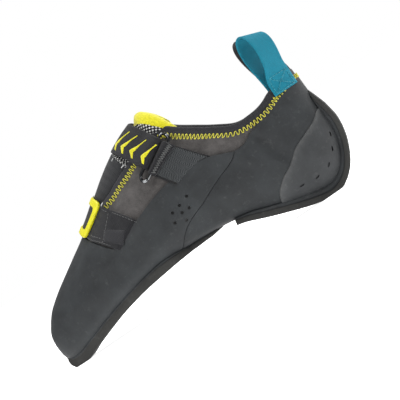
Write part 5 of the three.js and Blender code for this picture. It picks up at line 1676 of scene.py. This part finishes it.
@dataclass
class PullLoop:
    """A loop of tape at the back of the collar, sewn to its outside and inside."""

    name: str
    node: str
    side: Side
    finish: Finish
    slot: str
    lean: float
    front: float = 5.5
    reach: float = 16.0
    width: float = 18.0
    rise: float = 37.5
    belly: float = 5.5
    seat: float = 7.0
    base: float = 83.0
    tilt: float = 5.0
    turn: float = 0.12
    release: float = 14.0

    def wall(self, x: np.ndarray, z: np.ndarray, lift: np.ndarray) -> np.ndarray:
        """Points on the outer wall of the heel by their place in side view, found in a table of stations."""
        stations = np.linspace(LAST_STATION - 8, LAST_STATION, 161)
        ring = FORM.ring(stations)
        flat_x, flat_z = np.broadcast_arrays(x, z)
        made = []
        for px, pz in zip(flat_x.ravel(), flat_z.ravel()):
            share = (pz - ring["zb"]) / (ring["zt"] - ring["zb"])
            along = ring["xb"] + (ring["xt"] - ring["xb"]) * share
            station = np.interp(px, along, stations)
            made.append((station, np.interp(station, stations, share)))
        found = np.array(made).reshape(*flat_x.shape, 2)
        girth = FORM.girth_at_height(found[..., 0], np.maximum(found[..., 1], 0), Side.OUTER)
        return FORM.at(found[..., 0], girth, lift)

    def build(self) -> None:
        """The tape's line is an arch: its height is a power of a sine, its belly a full sine wave."""
        seat_out = GAP + BINDING + 2 * GAP + LOOP_TAPE / 2
        seat_in = -UPPER_WALL - GAP - BINDING - 2 * GAP - LOOP_TAPE / 2
        t = np.linspace(0, 1, 60)
        arch = np.stack([seat_out + (seat_in - seat_out) * eased(t) + self.belly * np.sin(2 * math.pi * t),
                         self.rise * np.sin(math.pi * t) ** 0.8], axis=1)
        seats = [np.stack([np.full(8, s), np.linspace(-self.seat, 0, 8, endpoint=False)], axis=1)
                 for s in (seat_out, seat_in)]
        line = np.vstack([seats[0], arch, seats[1][::-1]])
        along = np.gradient(line, axis=0)
        along /= np.linalg.norm(along, axis=1, keepdims=True)
        side = np.stack([-along[:, 1], along[:, 0]], axis=1)
        share = np.linspace(0, 1, 25)
        edge = np.clip(np.minimum(share, 1 - share) / 0.04, 0, 1)
        thick = LOOP_TAPE / 2 * np.maximum(np.sqrt(1 - (1 - edge) ** 2), 0.3)
        grids = [self.place(line[:, None, :] + sign * side[:, None, :] * thick[None, :, None],
                            share[None, :]) for sign in (1, -1)]
        run = run_along(line)
        uv = np.stack(np.broadcast_arrays(run[:, None], share[None, :] * self.width), axis=-1)
        points, faces, uv = slab(grids[0], grids[1], uv)
        Piece(self.name, points, faces, self.finish, self.slot, (self.node,), uv=uv).make()
        self.box_stitch(line, side)

    def box_stitch(self, line: np.ndarray, side: np.ndarray) -> None:
        """A box of stitches with a cross in it, through the outer end of the tape.

        Args:
            line: out and up along the tape's middle.
            side: its normals, in the same two directions.
        """
        low, high, near, far = 1.0, 12.5, 0.12, 0.88
        runs = ((low, near, high, near), (high, near, high, far), (high, far, low, far),
                (low, far, low, near), (low, near, high, far), (low, far, high, near))
        run = run_along(line)
        shape = MeshParts()
        for from_run, from_share, to_run, to_share in runs:
            length = math.hypot(to_run - from_run, (to_share - from_share) * self.width)
            count = int(length / 2.0)
            for k in range(count):
                t = (k + np.linspace(0.1, 0.82, 5)) / count
                at = from_run + (to_run - from_run) * t
                off = LOOP_TAPE / 2 + 0.05 + 0.14 * np.sin(np.linspace(0, math.pi, 5))
                middle = np.stack([np.interp(at, run, line[:, i]) for i in range(2)], axis=1)
                normal = np.stack([np.interp(at, run, side[:, i]) for i in range(2)], axis=1)
                outward = normal * np.sign(normal[:, :1])
                across = (from_share + (to_share - from_share) * t)[:, None]
                path = self.place((middle + outward * off[:, None])[:, None, :], across)[:, 0]
                above = self.place((middle + outward * (off[:, None] + 1))[:, None, :], across)[:, 0]
                shape.add(*tube(path, above - path, 0.22, 6))
        finish = LOOP_THREAD if self.side is Side.OUTER else GREY_THREAD
        shape.piece(f"{self.name}_stitches", finish, self.slot).make()

    def place(self, flat: np.ndarray, share: np.ndarray) -> np.ndarray:
        """Turns places in the arch's plane to points: seated on the collar below, free of it above.

        Args:
            flat: out and up from the seat, rows by columns.
            share: places across the tape, rows by columns or a row.

        Returns:
            Points in millimetres.
        """
        out, up = flat[..., 0], flat[..., 1]
        across = np.broadcast_to(share, out.shape)
        seated = self.wall(self.front + self.reach * across, self.base + np.minimum(up, 0), out)
        ends = self.wall(np.array([self.front, self.front + self.reach, self.front + self.reach / 2]),
                         np.full(3, self.base), np.zeros(3))
        along = ends[1] - ends[0]
        along[2] = 0
        along /= np.linalg.norm(along)
        outward = np.array([along[1], -along[0], 0])
        above = np.maximum(up, 0)
        aside = (across - 0.5) * self.width
        turn = self.turn * np.sin(math.pi * np.minimum(above, self.rise) / self.rise)
        free = ends[2] + (aside * np.cos(turn) + out * np.sin(turn))[..., None] * along
        free = free + (out * np.cos(turn) - aside * np.sin(turn))[..., None] * outward
        free[..., 0] += above * self.lean
        free[..., 2] = self.base + above * (1 - (across - 0.5) * self.tilt / self.rise)
        rise = eased(np.clip(up / self.release, 0, 1))[..., None]
        seated[..., 2] += np.maximum(up, 0)
        points = seated * (1 - rise) + free * rise
        points[..., 1] *= -self.side.value
        return points


@dataclass
class Studio:
    """Camera, floor and soft lights."""

    distance: float = 1800.0
    frame_width: float = 272.0
    target: tuple[float, float, float] = (-76.3, -10.0, 47.5)
    yaw: float = 5.0
    room: float = 0.4
    rise: float = 0.8
    roll: float = 34.5
    softboxes: tuple = (
        ("key", (-0.7, -1.1, 1.3), (-0.08, 0, 0.05), 0.7, 12.0),
        ("top", (0.1, 0.2, 1.4), (-0.08, 0, 0.05), 1.0, 18.0),
        ("rear", (0.9, 0.5, 0.7), (0.0, 0, 0.06), 0.7, 8.0),
    )

    def camera(self) -> None:
        """A long lens level with the shoe, rolled so that the floor runs up to the right."""
        data = bpy.data.cameras.new("camera")
        data.sensor_width = 36.0
        data.lens = data.sensor_width * self.distance / self.frame_width
        data.clip_start, data.clip_end = 0.05, 50.0
        made = bpy.data.objects.new("camera", data)
        yaw, rise, roll = (math.radians(v) for v in (self.yaw, self.rise, self.roll))
        back = np.array([math.sin(yaw) * math.cos(rise), -math.cos(yaw) * math.cos(rise), math.sin(rise)])
        level = np.array([math.cos(yaw), math.sin(yaw), 0.0])
        up = np.cross(back, level)
        right = math.cos(roll) * level - math.sin(roll) * up
        top = math.sin(roll) * level + math.cos(roll) * up
        spot = (np.array(self.target) + back * self.distance) * METRES
        rows = [[*map(float, (right[k], top[k], back[k])), float(spot[k])] for k in range(3)]
        made.matrix_world = Matrix([*rows, [0, 0, 0, 1]])
        bpy.context.scene.collection.objects.link(made)
        bpy.context.scene.camera = made

    def floor(self) -> None:
        """A wide pale floor."""
        mesh = bpy.data.meshes.new("floor")
        reach = 12.0
        corners = [(-reach, -reach, 0), (reach, -reach, 0), (reach, reach, 0), (-reach, reach, 0)]
        mesh.from_pydata(corners, [], [(0, 1, 2, 3)])
        mesh.materials.append(FLOOR.material())
        made = bpy.data.objects.new("floor", mesh)
        bpy.context.scene.collection.objects.link(made)

    def light(self, name: str, spot: tuple, aim: tuple, size: float, power: float) -> None:
        """One square softbox, turned to what it lights.

        Args:
            name: its name.
            spot: where it stands, in metres.
            aim: the point that it faces.
            size: its side, in metres.
            power: its power in watts.
        """
        data = bpy.data.lights.new(name, "AREA")
        data.size, data.energy = size, power
        made = bpy.data.objects.new(name, data)
        made.location = spot
        made.rotation_euler = (Vector(aim) - Vector(spot)).to_track_quat("-Z", "Y").to_euler()
        bpy.context.scene.collection.objects.link(made)

    def build(self) -> None:
        """Sets the camera, the floor, a white room and the softboxes."""
        self.camera()
        self.floor()
        world = bpy.data.worlds.new("white_room")
        world.use_nodes = True
        tree = world.node_tree
        seen = tree.nodes["Background"]
        seen.inputs["Color"].default_value = (1, 1, 1, 1)
        soft = tree.nodes.new("ShaderNodeBackground")
        soft.inputs["Color"].default_value = (1, 1, 1, 1)
        soft.inputs["Strength"].default_value = self.room
        paths, mix = tree.nodes.new("ShaderNodeLightPath"), tree.nodes.new("ShaderNodeMixShader")
        tree.links.new(paths.outputs["Is Camera Ray"], mix.inputs["Fac"])
        tree.links.new(soft.outputs["Background"], mix.inputs[1])
        tree.links.new(seen.outputs["Background"], mix.inputs[2])
        tree.links.new(mix.outputs["Shader"], tree.nodes["World Output"].inputs["Surface"])
        bpy.context.scene.world = world
        bpy.context.scene.view_settings.view_transform = "Standard"
        for softbox in self.softboxes:
            self.light(*softbox)


def main() -> None:
    """Builds every part of the shoe around the frame, then the studio."""
    logging.basicConfig(level=logging.INFO, format="%(message)s")
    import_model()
    Upper().build()
    Rubber().build()
    Soles().build()
    Insole().build()
    Binding().build()
    Gusset().build()
    Tongue().build()
    instep = Strap("instep", INSTEP_STRAP, INSTEP_RING, INSTEP_WEBBING, INSTEP_TAB)
    instep.build()
    instep.chevrons()
    instep.webbing_seam()
    toe = Strap("toe", TOE_STRAP, TOE_RING, TOE_WEBBING, TOE_TAB)
    toe.build()
    toe.patch()
    PullLoop("outer_pull_loop", "pull_loop_outer", Side.OUTER, LOOP_WEAVE, "loop_tape", 0.04).build()
    PullLoop("inner_pull_loop", "pull_loop_inner", Side.INNER, BLACK_WEBBING, "webbing", -0.1).build()
    Studio().build()


if __name__ == "__main__":
    main()
